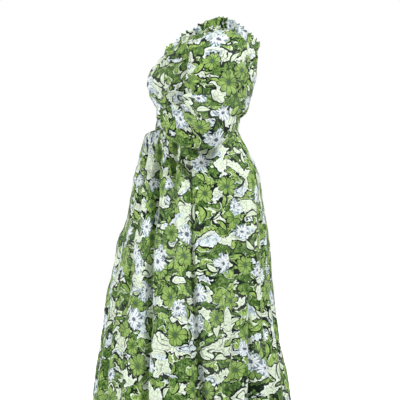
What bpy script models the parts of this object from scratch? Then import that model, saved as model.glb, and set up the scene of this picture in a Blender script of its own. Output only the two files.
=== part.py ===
"""An off-shoulder wax print maxi dress, held open in the shape it takes when it is worn.

Metres, +Z up. The front of the dress faces -Y and the wearer's left is +X. The origin is the middle of
the neckline opening, halfway up the frill at the shoulders, where the wearer's shoulders hold it up.

Each cut piece of cloth is a grid of points on the garment's outer face: its rows run from the neckline
down, and its columns run round the body from front to left to back. The grid becomes a wall by adding
an inner face one thickness inside it. Pieces that share a seam share its points and its outward
directions, so that their cut edges stay parallel across the seam's gap.
"""

import math
from collections import namedtuple

import bpy
from mathutils import Vector

UP = Vector((0.0, 0.0, 1.0))

# ---- cloth
WALL = 0.002  # thickness of the cloth wall
SEAM_GAP = 0.0003  # between two pieces at a seam
SAME_POINT = 1e-5  # points nearer than this are one point of a seam
LEAST_MITRE = 0.4  # keeps the corner of a sharp point from running far into the cloth

# ---- neckline: the elastic's line round the shoulders, upper chest and back
NECK_HALF_WIDTH = 0.200
NECK_FRONT_Y = -0.160
NECK_BACK_Y = 0.139
NECK_SIDE_Y = 0.022
NECK_SIDE_Z = -0.020
NECK_FRONT_DIP = 0.070  # how far the front hangs below the shoulders
NECK_BACK_DIP = 0.055
NECK_FRONT_ROUNDING = 0.12  # how softly the line turns over the shoulder
NECK_BACK_ROUNDING = 0.30
CHEST_TILT = 0.6  # how far the cut edge leans back at the front centre
RAGLAN_FRONT_DEG = 55.0  # where the sleeve seams meet the neckline, from the front centre
RAGLAN_BACK_DEG = 128.0

# ---- neckline frill, which stands on the elastic
FRILL_WAVES = 50
FRILL_WAVE_DEPTH = 0.0055  # at its free edge
# How far the free edge stands above the elastic, and how far outside it.
FRILL_FRONT_RISE, FRILL_FRONT_LEAN = 0.026, -0.017
FRILL_SIDE_RISE, FRILL_SIDE_LEAN = 0.033, 0.004
FRILL_BACK_RISE, FRILL_BACK_LEAN = 0.029, 0.006

# ---- gathers: how far they stand in and out beside the elastic or band, and how far away they fade
BODY_GATHERS = 9  # on each body piece
SLEEVE_GATHERS = 7  # over each shoulder, and again round each cuff
NECK_GATHER_DEPTH = 0.0028
NECK_GATHER_FADE = 0.060
WAIST_GATHER_DEPTH = 0.0026
WAIST_GATHER_FADE = 0.035
CUFF_GATHER_DEPTH = 0.0030
CUFF_GATHER_FADE = 0.050
SKIRT_GATHER_FRONT = 0.0050
SKIRT_GATHER_BACK = 0.0018
SKIRT_GATHER_FADE = 0.110

# ---- cuff frills, past each cuff's elastic
CUFF_FRILL_LENGTH = 0.013
CUFF_FRILL_OPENING = 0.004
CUFF_WAVES = 10
CUFF_WAVE_DEPTH = 0.0024

# ---- bust: the fullness that the darts and gathers give, alike on both sides
CUP_DEPTH = 0.012
CUP_X = 0.085
CUP_Z = -0.150
CUP_SPREAD = 0.058
CUP_CLEAR = 0.2  # the share of a row, at each side seam, over which the fullness fades out

# ---- sleeve seams, from the neckline to the underarm, and the fullness over the shoulder
RAGLAN_FRONT_PULL = Vector((0.176, -0.092, -0.098))  # these bend the seams
RAGLAN_BACK_PULL = Vector((0.180, 0.122, -0.088))
SHOULDER_BULGE = 0.016

# ---- body pieces above the underarm: how far up the sleeve seam each row ends, from the underarm at 0
# to the neckline at 1, and its points at the front and back centre
Yoke = namedtuple("Yoke", "share front_y front_z back_y back_z")
YOKE = [
    Yoke(1.00, NECK_FRONT_Y, NECK_SIDE_Z - NECK_FRONT_DIP, NECK_BACK_Y, NECK_SIDE_Z - NECK_BACK_DIP),
    Yoke(0.74, -0.1675, -0.099, 0.1412, -0.089),
    Yoke(0.48, -0.1755, -0.110, 0.1420, -0.103),
    Yoke(0.23, -0.1860, -0.121, 0.1415, -0.117),
    Yoke(0.00, -0.1945, -0.132, 0.1405, -0.131),
]

# ---- body pieces and skirt below the underarm: one row of the table for each level
Level = namedtuple("Level", "z front back half_width side_y")
BODICE = [
    Level(-0.1520, -0.2030, 0.1385, 0.179, 0.004),
    Level(-0.1750, -0.2060, 0.1335, 0.177, -0.004),
    Level(-0.1970, -0.2020, 0.1275, 0.173, -0.014),
    Level(-0.2170, -0.1950, 0.1215, 0.169, -0.023),
    Level(-0.2340, -0.1860, 0.1155, 0.166, -0.030),
    Level(-0.2480, -0.1770, 0.1135, 0.165, -0.035),
    Level(-0.2590, -0.1775, 0.1095, 0.163, -0.039),
    Level(-0.2680, -0.1785, 0.0995, 0.160, -0.042),
    Level(-0.2740, -0.1785, 0.0920, 0.157, -0.044),
    Level(-0.2797, -0.1785, 0.0880, 0.155, -0.045),
]
WAISTBAND = [
    Level(-0.2800, -0.1780, 0.0875, 0.154, -0.045),
    Level(-0.2990, -0.1800, 0.0850, 0.153, -0.046),
    Level(-0.3180, -0.1860, 0.0825, 0.155, -0.047),
]
SKIRT = [
    Level(-0.3183, -0.1870, 0.0830, 0.156, -0.047),
    Level(-0.3280, -0.2110, 0.0870, 0.166, -0.048),
    Level(-0.3520, -0.2220, 0.0970, 0.180, -0.050),
    Level(-0.3830, -0.2290, 0.1145, 0.198, -0.050),
    Level(-0.4200, -0.2390, 0.1345, 0.213, -0.050),
    Level(-0.4730, -0.2530, 0.1520, 0.232, -0.050),
    Level(-0.5380, -0.2640, 0.1590, 0.247, -0.050),
    Level(-0.5950, -0.2730, 0.1690, 0.260, -0.052),
    Level(-0.6620, -0.2920, 0.1810, 0.275, -0.055),
    Level(-0.7650, -0.3090, 0.1890, 0.293, -0.060),
    Level(-0.8800, -0.3340, 0.1990, 0.311, -0.064),
    Level(-0.9950, -0.3510, 0.2200, 0.328, -0.066),
    Level(-1.1200, -0.3700, 0.2430, 0.348, -0.068),
    Level(-1.2700, -0.3880, 0.2560, 0.365, -0.068),
]

# ---- folds of the skirt: where each one lies at the waist, at the knee and at the hem, round from the
# front centre towards the wearer's left. A negative depth stands out as a ridge.
Fold = namedtuple("Fold", "waist_deg knee_deg hem_deg start_z waist_depth hem_depth spread_deg")
FOLDS = [
    Fold(-174.0, -174.0, -171.0, -0.44, 0.000, 0.028, 5.0),
    Fold(-158.0, -156.0, -150.0, -0.38, 0.003, 0.034, 5.2),
    Fold(-138.0, -133.0, -128.0, -0.46, 0.000, 0.026, 4.8),
    Fold(-112.0, -110.0, -104.0, -0.38, 0.003, 0.033, 5.2),
    Fold(-88.0, -87.0, -82.0, -0.35, 0.008, 0.028, 4.6),
    Fold(-66.0, -64.0, -60.0, -0.36, 0.006, 0.034, 4.6),
    Fold(-46.0, -43.0, -38.0, -0.33, 0.012, 0.030, 4.4),
    Fold(-26.0, -25.0, -21.0, -0.56, 0.000, 0.030, 4.6),
    Fold(-8.0, -8.0, -8.0, -0.585, -0.021, -0.010, 7.0),
    Fold(3.0, 3.0, 8.0, -0.46, 0.003, 0.020, 4.2),
    Fold(14.0, 18.0, 31.0, -0.60, 0.000, 0.030, 4.6),
    Fold(27.0, 36.0, 46.0, -0.36, 0.010, 0.004, 4.0),
    Fold(45.5, 56.0, 63.0, -0.32, 0.026, 0.038, 4.0),
    Fold(68.0, 73.0, 79.0, -0.32, 0.014, 0.004, 3.8),
    Fold(83.0, 88.0, 101.0, -0.37, 0.006, 0.034, 4.6),
    Fold(130.0, 121.0, 111.0, -0.46, 0.000, 0.012, 5.0),
    Fold(146.0, 138.0, 124.0, -0.76, 0.000, 0.030, 4.8),
    Fold(159.0, 152.0, 142.0, -0.50, 0.000, 0.014, 5.2),
    Fold(170.0, 167.0, 161.0, -0.62, 0.000, 0.026, 5.0),
]
FOLD_ONSET = 0.090  # height over which a fold opens
KNEE_SHARE = 0.42  # how far down the skirt the knee lies

# ---- sleeves: rings round the arm, by their front (inner elbow) and back (outer elbow) points
Ring = namedtuple("Ring", "front_y front_z back_y back_z centre_x half_width")
ARMHOLE = Ring(-0.074, -0.118, 0.096, -0.110, 0.238, 0.056)
BENT_ARM = [  # the left arm lies forward from the elbow
    Ring(-0.0765, -0.1440, 0.0925, -0.1560, 0.244, 0.058),
    Ring(-0.0795, -0.1740, 0.0880, -0.1980, 0.246, 0.059),
    Ring(-0.0825, -0.2030, 0.0800, -0.2420, 0.247, 0.060),
    Ring(-0.0860, -0.2260, 0.0670, -0.2890, 0.248, 0.060),
    Ring(-0.0895, -0.2370, 0.0500, -0.3370, 0.248, 0.060),
    Ring(-0.0940, -0.2430, 0.0220, -0.3740, 0.247, 0.059),
    Ring(-0.1005, -0.2465, -0.0160, -0.3870, 0.243, 0.057),
    Ring(-0.1080, -0.2490, -0.0550, -0.3865, 0.235, 0.055),
    Ring(-0.1180, -0.2515, -0.0890, -0.3785, 0.224, 0.051),
    Ring(-0.1310, -0.2545, -0.1170, -0.3660, 0.210, 0.046),
    Ring(-0.1430, -0.2575, -0.1385, -0.3510, 0.196, 0.041),
    Ring(-0.1520, -0.2600, -0.1510, -0.3350, 0.184, 0.037),
]
HANGING_ARM = [  # the right arm hangs down and a little forward
    Ring(-0.086, -0.146, 0.080, -0.166, 0.246, 0.059),
    Ring(-0.104, -0.181, 0.051, -0.223, 0.250, 0.061),
    Ring(-0.127, -0.227, 0.013, -0.288, 0.254, 0.061),
    Ring(-0.150, -0.272, -0.033, -0.348, 0.257, 0.059),
    Ring(-0.174, -0.311, -0.083, -0.391, 0.258, 0.054),
    Ring(-0.196, -0.349, -0.127, -0.421, 0.256, 0.046),
    Ring(-0.2155, -0.3865, -0.1645, -0.4415, 0.253, 0.038),
]

# ---- how finely each piece is divided
BODY_COLUMNS = 36
SLEEVE_COLUMNS = 28
BAND_COLUMNS = 40
SKIRT_COLUMNS = 64  # on each of the two skirt pieces
POINTS_A_WAVE = 4

# ---- finish: the print's mean colour
CLOTH = (0.300, 0.390, 0.240, 1.0)
CLOTH_ROUGHNESS = 0.8

# A piece of cloth. From row tube_from on, the last point of a row is its first point again. The ends say
# which way the cloth's cut edge faces at the first and at the last row.
Piece = namedtuple("Piece", "name rows tube_from first_end last_end")
AS_IT_LIES, LEVEL, ACROSS_ELASTIC, ACROSS_TUBE = range(4)


# ---------------------------------------------------------------- small curves
def blend(a, b, share):
    return a + (b - a) * share


def smooth_step(value):
    value = max(0.0, min(1.0, value))
    return value * value * (3.0 - 2.0 * value)


def fading(distance, fade):
    return math.exp(-((distance / fade) ** 2))


def bezier(start, pull, end, share):
    """A point on the curve from start to end that pull bends."""
    back = 1.0 - share
    return start * back * back + pull * 2.0 * share * back + end * share * share


def neckline(degrees):
    """The elastic's line; 0 degrees is the front centre and 90 the left shoulder."""
    toward_front = math.cos(math.radians(degrees))
    if toward_front > 0:
        end_y, dip, rounding = NECK_FRONT_Y, NECK_FRONT_DIP, NECK_FRONT_ROUNDING
    else:
        end_y, dip, rounding = NECK_BACK_Y, NECK_BACK_DIP, NECK_BACK_ROUNDING
    fallen = (math.hypot(toward_front, rounding) - rounding) / (math.hypot(1.0, rounding) - rounding)
    return Vector((
        NECK_HALF_WIDTH * math.sin(math.radians(degrees)),
        blend(NECK_SIDE_Y, end_y, abs(toward_front)),
        NECK_SIDE_Z - dip * fallen,
    ))


def neck_outward(degrees):
    """Outward across the elastic: level at the shoulders and the back, tilted up on the chest."""
    step = 0.5
    along = neckline(degrees + step) - neckline(degrees - step)
    level = along.cross(UP).normalized()
    return (level + UP * CHEST_TILT * max(0.0, math.cos(math.radians(degrees)))).normalized()


def neck_deg(point):
    """The angle at which a point of the neckline lies."""
    end_y, sign = (NECK_FRONT_Y, 1.0) if point.y < NECK_SIDE_Y else (NECK_BACK_Y, -1.0)
    toward_front = sign * (point.y - NECK_SIDE_Y) / (end_y - NECK_SIDE_Y)
    return math.degrees(math.atan2(point.x / NECK_HALF_WIDTH, toward_front))


# ---------------------------------------------------------------- body pieces
def underarm_point():
    return Vector((
        ARMHOLE.centre_x - ARMHOLE.half_width,
        (ARMHOLE.front_y + ARMHOLE.back_y) / 2.0,
        (ARMHOLE.front_z + ARMHOLE.back_z) / 2.0,
    ))


def raglan_point(share, is_front):
    """On the left sleeve's seam: share 0 is the underarm and 1 the neckline."""
    if is_front:
        return bezier(underarm_point(), RAGLAN_FRONT_PULL, neckline(RAGLAN_FRONT_DEG), share)
    return bezier(underarm_point(), RAGLAN_BACK_PULL, neckline(RAGLAN_BACK_DEG), share)


def arc_row(centre, edge, turn_deg):
    """Points from the mirrored edge, through centre, to edge, on an arc that turns by turn_deg each way."""
    turn = math.radians(turn_deg)
    row = []
    for column in range(BODY_COLUMNS + 1):
        side = 2.0 * column / BODY_COLUMNS - 1.0
        lift = (math.cos(side * turn) - math.cos(turn)) / (1.0 - math.cos(turn))
        row.append(Vector((
            edge.x * math.sin(side * turn) / math.sin(turn),
            blend(edge.y, centre.y, lift),
            blend(edge.z, centre.z, lift),
        )))
    return row


def yoke_row(yoke, is_front):
    """A row of a body piece above the underarm; the last one is the neckline itself."""
    if is_front:
        centre, centre_deg, end_deg = Vector((0.0, yoke.front_y, yoke.front_z)), 0.0, RAGLAN_FRONT_DEG
    else:
        centre, centre_deg, end_deg = Vector((0.0, yoke.back_y, yoke.back_z)), 180.0, RAGLAN_BACK_DEG
    half_deg = end_deg - centre_deg
    if yoke.share == 1.0:
        sides = [2.0 * column / BODY_COLUMNS - 1.0 for column in range(BODY_COLUMNS + 1)]
        return [neckline(centre_deg + half_deg * side) for side in sides]
    return arc_row(centre, raglan_point(yoke.share, is_front), blend(90.0, abs(half_deg), yoke.share))


def bodice_row(level, is_front):
    centre = Vector((0.0, level.front if is_front else level.back, level.z))
    return arc_row(centre, Vector((level.half_width, level.side_y, level.z)), 90.0)


def add_cups(rows):
    for row in rows:
        for column, point in enumerate(row):
            from_seam = min(column, len(row) - 1 - column) / len(row)
            across = (abs(point.x) - CUP_X) / CUP_SPREAD
            up = (point.z - CUP_Z) / CUP_SPREAD
            fullness = math.exp(-across * across - up * up) * smooth_step(from_seam / CUP_CLEAR)
            point.y -= CUP_DEPTH * fullness


def gather(rows, waves, depth_at):
    """Moves each point in and out along its row's waves; the row's ends stay where they are."""
    for row in rows:
        last = len(row) - 1
        moved = []
        for column, point in enumerate(row):
            along = row[min(last, column + 1)] - row[max(0, column - 1)]
            wave = math.sin(2.0 * math.pi * waves * column / last)
            moved.append(point + along.cross(UP).normalized() * wave * depth_at(point))
        row[:] = moved


def body_gather_depth(point):
    """Gathers hang from the elastic and stand above the waistband, and the bust is smooth."""
    below_neck = max(0.0, NECK_SIDE_Z - NECK_BACK_DIP - point.z)
    above_band = max(0.0, point.z - WAISTBAND[0].z)
    beside_band = smooth_step(above_band / 0.006) * fading(above_band, WAIST_GATHER_FADE)
    return NECK_GATHER_DEPTH * fading(below_neck, NECK_GATHER_FADE) + WAIST_GATHER_DEPTH * beside_band


def bodice_piece(name, is_front):
    rows = [yoke_row(yoke, is_front) for yoke in YOKE] + [bodice_row(level, is_front) for level in BODICE]
    if is_front:
        add_cups(rows[1:])
    else:
        rows = [row[::-1] for row in rows]
    gather(rows[1:], BODY_GATHERS, body_gather_depth)
    return Piece(name, rows, None, ACROSS_ELASTIC, LEVEL)


# ---------------------------------------------------------------- waistband and skirt
def level_point(level, degrees):
    angle = math.radians(degrees)
    end_y = level.front if math.cos(angle) > 0 else level.back
    return Vector((
        level.half_width * math.sin(angle),
        level.side_y + (end_y - level.side_y) * abs(math.cos(angle)),
        level.z,
    ))


def waistband_piece():
    rows = [
        [level_point(level, 360.0 * column / BAND_COLUMNS) for column in range(BAND_COLUMNS + 1)]
        for level in WAISTBAND
    ]
    return Piece("waistband", rows, 0, LEVEL, LEVEL)


def share_down(z):
    return (SKIRT[0].z - z) / (SKIRT[0].z - SKIRT[-1].z)


def fold_deg(fold, z):
    """Where the fold lies at that height, on the curve through its three angles."""
    down = share_down(z)
    return (
        fold.waist_deg * (KNEE_SHARE - down) * (1.0 - down) / KNEE_SHARE
        + fold.knee_deg * down * (1.0 - down) / (KNEE_SHARE * (1.0 - KNEE_SHARE))
        + fold.hem_deg * down * (down - KNEE_SHARE) / (1.0 - KNEE_SHARE)
    )


def fold_depth(fold, degrees, z):
    """How far this fold takes the skirt in at that place."""
    opened = smooth_step((fold.start_z - z) / FOLD_ONSET)
    if opened == 0.0:
        return 0.0
    away = (degrees - fold_deg(fold, z) + 180.0) % 360.0 - 180.0
    depth = blend(fold.waist_depth, fold.hem_depth, share_down(z) ** 0.8)
    return opened * depth * fading(away, fold.spread_deg)


def thread_deg(knee_deg, z):
    """Where a thread of the cloth lies at that height, when it crosses the knee line at knee_deg: the
    threads run along the folds beside them."""
    turns = math.floor((knee_deg - FOLDS[0].knee_deg) / 360.0)
    local = knee_deg - 360.0 * turns
    last = 0
    while last + 1 < len(FOLDS) and FOLDS[last + 1].knee_deg <= local:
        last += 1
    before, after = FOLDS[last], FOLDS[(last + 1) % len(FOLDS)]
    round_again = 360.0 if last + 1 == len(FOLDS) else 0.0
    share = (local - before.knee_deg) / (after.knee_deg + round_again - before.knee_deg)
    return blend(fold_deg(before, z), fold_deg(after, z) + round_again, share) + 360.0 * turns


def skirt_point(level, column):
    """The point of this level's row on the given thread; the threads are numbered from the front centre."""
    degrees = thread_deg(180.0 * column / SKIRT_COLUMNS, level.z)
    point = level_point(level, degrees)
    axis = Vector((0.0, level.side_y, level.z))
    inward = (axis - point).normalized()
    below_band = SKIRT[0].z - level.z
    facing_front = (1.0 + math.cos(math.radians(degrees))) / 2.0
    gather_depth = blend(SKIRT_GATHER_BACK, SKIRT_GATHER_FRONT, facing_front)
    beside_band = smooth_step(below_band / 0.010) * fading(below_band, SKIRT_GATHER_FADE)
    gathered = gather_depth * beside_band * (1.0 + math.sin(2.0 * math.pi * column / POINTS_A_WAVE))
    taken_in = gathered + sum(fold_depth(fold, degrees, level.z) for fold in FOLDS)
    return point + inward * taken_in


def skirt_piece(name, first_column):
    """Half of the skirt, from the thread with this number."""
    rows = [
        [skirt_point(level, first_column + column) for column in range(SKIRT_COLUMNS + 1)] for level in SKIRT
    ]
    return Piece(name, rows, None, LEVEL, LEVEL)


# ---------------------------------------------------------------- sleeves
def ring_point(ring, degrees):
    """Round one ring: -90 is the side next to the body, 0 the front, 90 the outer side."""
    angle = math.radians(degrees)
    middle_y = (ring.front_y + ring.back_y) / 2.0
    middle_z = (ring.front_z + ring.back_z) / 2.0
    return Vector((
        ring.centre_x + ring.half_width * math.sin(angle),
        blend(middle_y, ring.front_y, math.cos(angle)),
        blend(middle_z, ring.front_z, math.cos(angle)),
    ))


def cap_row(share):
    """A row over the shoulder, from the front sleeve seam to the back one."""
    front_bend = raglan_point(share, True) - blend(underarm_point(), neckline(RAGLAN_FRONT_DEG), share)
    back_bend = raglan_point(share, False) - blend(underarm_point(), neckline(RAGLAN_BACK_DEG), share)
    row = []
    for column in range(SLEEVE_COLUMNS + 1):
        across = column / SLEEVE_COLUMNS
        at_arm = ring_point(ARMHOLE, -90.0 + 360.0 * across)
        at_neck = neckline(blend(RAGLAN_FRONT_DEG, RAGLAN_BACK_DEG, across))
        point = blend(at_arm, at_neck, share)
        point += front_bend * (1.0 - across) ** 2 + back_bend * across ** 2
        rise = SHOULDER_BULGE * math.sin(math.pi * share) * math.sin(math.pi * across) ** 1.5
        row.append(point + Vector((rise, 0.0, rise)) * math.sqrt(0.5))
    return row


def sleeve_piece(name, arm, is_left):
    caps = [cap_row(yoke.share) for yoke in YOKE if yoke.share > 0.0]
    gather(caps[1:], SLEEVE_GATHERS, cap_gather_depth)
    tube = [
        [ring_point(ring, -90.0 + 360.0 * column / SLEEVE_COLUMNS) for column in range(SLEEVE_COLUMNS + 1)]
        for ring in [ARMHOLE, *arm]
    ]
    cuff = ring_middle(arm[-1])
    for ring, row in zip([ARMHOLE, *arm], tube):
        away = (ring_middle(ring) - cuff).length
        for column, point in enumerate(row):
            wave = math.sin(2.0 * math.pi * SLEEVE_GATHERS * column / SLEEVE_COLUMNS)
            outward = (point - ring_middle(ring)).normalized()
            row[column] = point + outward * wave * CUFF_GATHER_DEPTH * fading(away, CUFF_GATHER_FADE)
    rows = caps + tube
    return Piece(name, rows if is_left else mirrored(rows), len(caps), ACROSS_ELASTIC, ACROSS_TUBE)


def cap_gather_depth(point):
    return NECK_GATHER_DEPTH * fading(point.z - NECK_SIDE_Z, NECK_GATHER_FADE)


def ring_middle(ring):
    return Vector((
        ring.centre_x,
        (ring.front_y + ring.back_y) / 2.0,
        (ring.front_z + ring.back_z) / 2.0,
    ))


def mirrored(rows):
    """The same rows on the wearer's right, still running front to left to back."""
    return [[Vector((-point.x, point.y, point.z)) for point in reversed(row)] for row in rows]


def cuff_frill_piece(name, arm, is_left):
    """A short frill that goes on from the last ring of the sleeve."""
    last = arm[-1]
    onward = (ring_middle(last) - ring_middle(arm[-2])).normalized()
    held_edge, free_edge = [], []
    for column in range(CUFF_WAVES * POINTS_A_WAVE + 1):
        point = ring_point(last, -90.0 + 360.0 * column / (CUFF_WAVES * POINTS_A_WAVE))
        outward = (point - ring_middle(last)).normalized()
        wave = CUFF_WAVE_DEPTH * math.sin(2.0 * math.pi * column / POINTS_A_WAVE)
        held_edge.append(point + onward * SEAM_GAP)
        free_edge.append(point + onward * CUFF_FRILL_LENGTH + outward * (CUFF_FRILL_OPENING + wave))
    rows = [held_edge, free_edge]
    return Piece(name, rows if is_left else mirrored(rows), 0, ACROSS_TUBE, AS_IT_LIES)


# ---------------------------------------------------------------- neckline frill
def neck_frill_piece():
    columns = FRILL_WAVES * POINTS_A_WAVE
    free_edge, held_edge = [], []
    for column in range(columns + 1):
        degrees = 360.0 * column / columns
        toward = math.cos(math.radians(degrees))
        end_rise, end_lean = FRILL_BACK_RISE, FRILL_BACK_LEAN
        if toward > 0:
            end_rise, end_lean = FRILL_FRONT_RISE, FRILL_FRONT_LEAN
        rise = blend(FRILL_SIDE_RISE, end_rise, toward * toward)
        lean = blend(FRILL_SIDE_LEAN, end_lean, toward * toward)
        wave = FRILL_WAVE_DEPTH * math.sin(2.0 * math.pi * column / POINTS_A_WAVE)
        held_edge.append(neckline(degrees) + UP * SEAM_GAP)
        free_edge.append(neckline(degrees) + levelled(neck_outward(degrees)) * (lean + wave) + UP * rise)
    return Piece("neck_frill", [free_edge, held_edge], 0, AS_IT_LIES, ACROSS_ELASTIC)


# ---------------------------------------------------------------- from grids to walls
def key_of(point):
    return tuple(round(value / SAME_POINT) for value in point)


def index_of(piece, row, column):
    width = len(piece.rows[0])
    if piece.tube_from is not None and row >= piece.tube_from and column == width - 1:
        column = 0
    return row * width + column


def triangles_of(piece):
    """Two outward-facing triangles for each cell of the grid."""
    made = []
    for row in range(len(piece.rows) - 1):
        for column in range(len(piece.rows[0]) - 1):
            a = index_of(piece, row, column)
            b = index_of(piece, row + 1, column)
            c = index_of(piece, row + 1, column + 1)
            d = index_of(piece, row, column + 1)
            made += [(a, b, c), (a, c, d)]
    return made


def shared_outward(pieces):
    """For each point of the garment, the mean outward direction of all the cloth that meets there."""
    total = {}
    for piece in pieces:
        points = [point for row in piece.rows for point in row]
        for a, b, c in triangles_of(piece):
            facing = (points[b] - points[a]).cross(points[c] - points[a])
            for corner in (a, b, c):
                key = key_of(points[corner])
                total[key] = total.get(key, Vector()) + facing
    for side in (1.0, -1.0):
        under = underarm_point()
        total[key_of(Vector((under.x * side, under.y, under.z)))] = Vector((0.0, 0.0, -1.0))
    return {key: facing.normalized() for key, facing in total.items()}


def levelled(direction):
    return Vector((direction.x, direction.y, 0.0)).normalized()


def edge_outward(row, directions, end):
    """The directions at a piece's first or last row: two pieces that meet end to end face the same way."""
    if end == LEVEL:
        return [levelled(direction) for direction in directions]
    if end == ACROSS_ELASTIC:
        return [neck_outward(neck_deg(point)) for point in row]
    if end == ACROSS_TUBE:
        middle = sum(row[:-1], Vector()) / (len(row) - 1)
        return [(point - middle).normalized() for point in row]
    return directions


def outward_of(piece, shared):
    out = [[shared[key_of(point)] for point in row] for row in piece.rows]
    out[0] = edge_outward(piece.rows[0], out[0], piece.first_end)
    out[-1] = edge_outward(piece.rows[-1], out[-1], piece.last_end)
    return [direction for row in out for direction in row]


def wall_of(piece, shared):
    """(points, faces) of the closed wall: the grid, the same grid one thickness inside, and the cut edges."""
    points = [point.copy() for row in piece.rows for point in row]
    keys = [key_of(point) for point in points]
    outward = outward_of(piece, shared)
    outer = triangles_of(piece)
    edges = {}
    for triangle in outer:
        for start, end in zip(triangle, triangle[1:] + triangle[:1]):
            edges[(start, end)] = True
    cut = [(start, end) for start, end in edges if (end, start) not in edges]
    into_cloth = {}
    for start, end in cut:
        along = points[end] - points[start]
        for corner in (start, end):
            into_cloth.setdefault(corner, []).append(outward[corner].cross(along).normalized())
    for corner, (first, second) in into_cloth.items():
        mitre = (first + second) / max(LEAST_MITRE, 1.0 + first.dot(second))
        points[corner] += mitre * SEAM_GAP / 2.0
    inner = [point - direction * WALL for point, direction in zip(points, outward)]
    count = len(points)
    faces = list(outer)
    faces += [(c + count, b + count, a + count) for a, b, c in outer]
    for start, end in cut:
        # Both pieces of a seam split each stretch of it along the same diagonal.
        if keys[start] < keys[end]:
            faces += [(end, start, start + count), (end, start + count, end + count)]
        else:
            faces += [(end, start, end + count), (start, start + count, end + count)]
    return points + inner, faces


# ---------------------------------------------------------------- Blender objects
def cloth_material(name):
    material = bpy.data.materials.get(name) or bpy.data.materials.new(name)
    material.use_nodes = True
    shader = material.node_tree.nodes["Principled BSDF"]
    shader.inputs["Base Color"].default_value = CLOTH
    shader.inputs["Roughness"].default_value = CLOTH_ROUGHNESS
    shader.inputs["Metallic"].default_value = 0.0
    material.diffuse_color = CLOTH
    return material


def build_piece(piece, shared, collection):
    points, faces = wall_of(piece, shared)
    used = sorted({corner for face in faces for corner in face})
    new_index = {old: new for new, old in enumerate(used)}
    mesh = bpy.data.meshes.new(piece.name)
    mesh.from_pydata(
        [points[old] for old in used], [], [tuple(new_index[corner] for corner in face) for face in faces]
    )
    mesh.shade_smooth()
    mesh.set_sharp_from_angle(angle=math.radians(50.0))
    mesh.materials.append(cloth_material(piece.name + "_cloth"))
    collection.objects.link(bpy.data.objects.new(piece.name, mesh))


def main():
    for old in list(bpy.data.objects):
        bpy.data.objects.remove(old, do_unlink=True)
    collection = bpy.data.collections.new("wax_print_dress")
    bpy.context.scene.collection.children.link(collection)
    pieces = [
        bodice_piece("bodice_front", True),
        bodice_piece("bodice_back", False),
        sleeve_piece("left_sleeve", BENT_ARM, True),
        sleeve_piece("right_sleeve", HANGING_ARM, False),
        cuff_frill_piece("left_cuff_frill", BENT_ARM, True),
        cuff_frill_piece("right_cuff_frill", HANGING_ARM, False),
        neck_frill_piece(),
        waistband_piece(),
        skirt_piece("skirt_front", -SKIRT_COLUMNS // 2),
        skirt_piece("skirt_back", SKIRT_COLUMNS // 2),
    ]
    shared = shared_outward(pieces)
    for piece in pieces:
        build_piece(piece, shared, collection)


main()
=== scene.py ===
"""An off-shoulder maxi dress of wax printed cotton: its cloth, frills, gathers, folds, print and stitches.

Metres, +Z up. The front of the dress faces -Y and the wearer's left is +X. Each piece of cloth starts as
a grid of points on its outer face, with rows running down and columns round the body from front to
left to back. Creases and puckers move the grid, and a Solidify modifier gives it its inner face.
"""

import math
from collections import namedtuple

import bpy
import numpy as np
from bpy.props import FloatProperty, FloatVectorProperty, IntProperty, PointerProperty
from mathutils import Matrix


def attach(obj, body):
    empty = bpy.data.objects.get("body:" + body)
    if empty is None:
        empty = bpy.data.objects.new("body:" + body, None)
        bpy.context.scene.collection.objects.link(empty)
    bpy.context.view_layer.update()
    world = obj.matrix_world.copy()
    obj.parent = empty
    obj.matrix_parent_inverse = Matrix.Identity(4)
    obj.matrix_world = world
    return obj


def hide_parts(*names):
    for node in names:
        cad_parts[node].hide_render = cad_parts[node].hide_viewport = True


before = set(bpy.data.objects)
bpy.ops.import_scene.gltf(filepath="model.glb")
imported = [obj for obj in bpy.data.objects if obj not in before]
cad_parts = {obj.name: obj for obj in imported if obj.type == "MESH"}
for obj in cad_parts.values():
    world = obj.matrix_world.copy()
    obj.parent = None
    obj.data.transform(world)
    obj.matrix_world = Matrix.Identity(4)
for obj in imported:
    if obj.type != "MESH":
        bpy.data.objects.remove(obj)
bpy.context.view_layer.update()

bl_info = {
    "name": "Off-shoulder wax print dress",
    "version": (1, 0, 0),
    "blender": (4, 5, 0),
    "location": "3D View > Sidebar > Dress",
    "description": "Cuts, gathers, prints and stitches the cloth of an off-shoulder maxi dress",
    "category": "Object",
}

# ---------------------------------------------------------------- the garment's own sizes
UP = np.array((0.0, 0.0, 1.0))
TURN = 2.0 * math.pi

NECK_HALF_WIDTH = 0.200
NECK_FRONT_Y = -0.160
NECK_BACK_Y = 0.139
NECK_SIDE_Y = 0.022
NECK_SIDE_Z = -0.020
NECK_FRONT_DIP = 0.070
NECK_BACK_DIP = 0.055
NECK_FRONT_ROUNDING = 0.12
NECK_BACK_ROUNDING = 0.30
RAGLAN_FRONT_DEG = 55.0
RAGLAN_BACK_DEG = 128.0
RAGLAN_FRONT_PULL = np.array((0.176, -0.092, -0.098))
RAGLAN_BACK_PULL = np.array((0.180, 0.122, -0.088))
SHOULDER_BULGE = 0.016  # half way between outward and up
SHOULDER_POWER = 1.5

# How far a frill's free edge stands above the neckline's elastic, and how far outside it.
FRILL_FRONT_RISE, FRILL_FRONT_LEAN = 0.026, -0.017
FRILL_SIDE_RISE, FRILL_SIDE_LEAN = 0.033, 0.004
FRILL_BACK_RISE, FRILL_BACK_LEAN = 0.029, 0.006
CUFF_FRILL_LENGTH = 0.013
CUFF_FRILL_OPENING = 0.004

CUP_DEPTH = 0.012
CUP_X = 0.085
CUP_Z = -0.150
CUP_SPREAD = 0.058
CUP_CLEAR = 0.2

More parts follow.
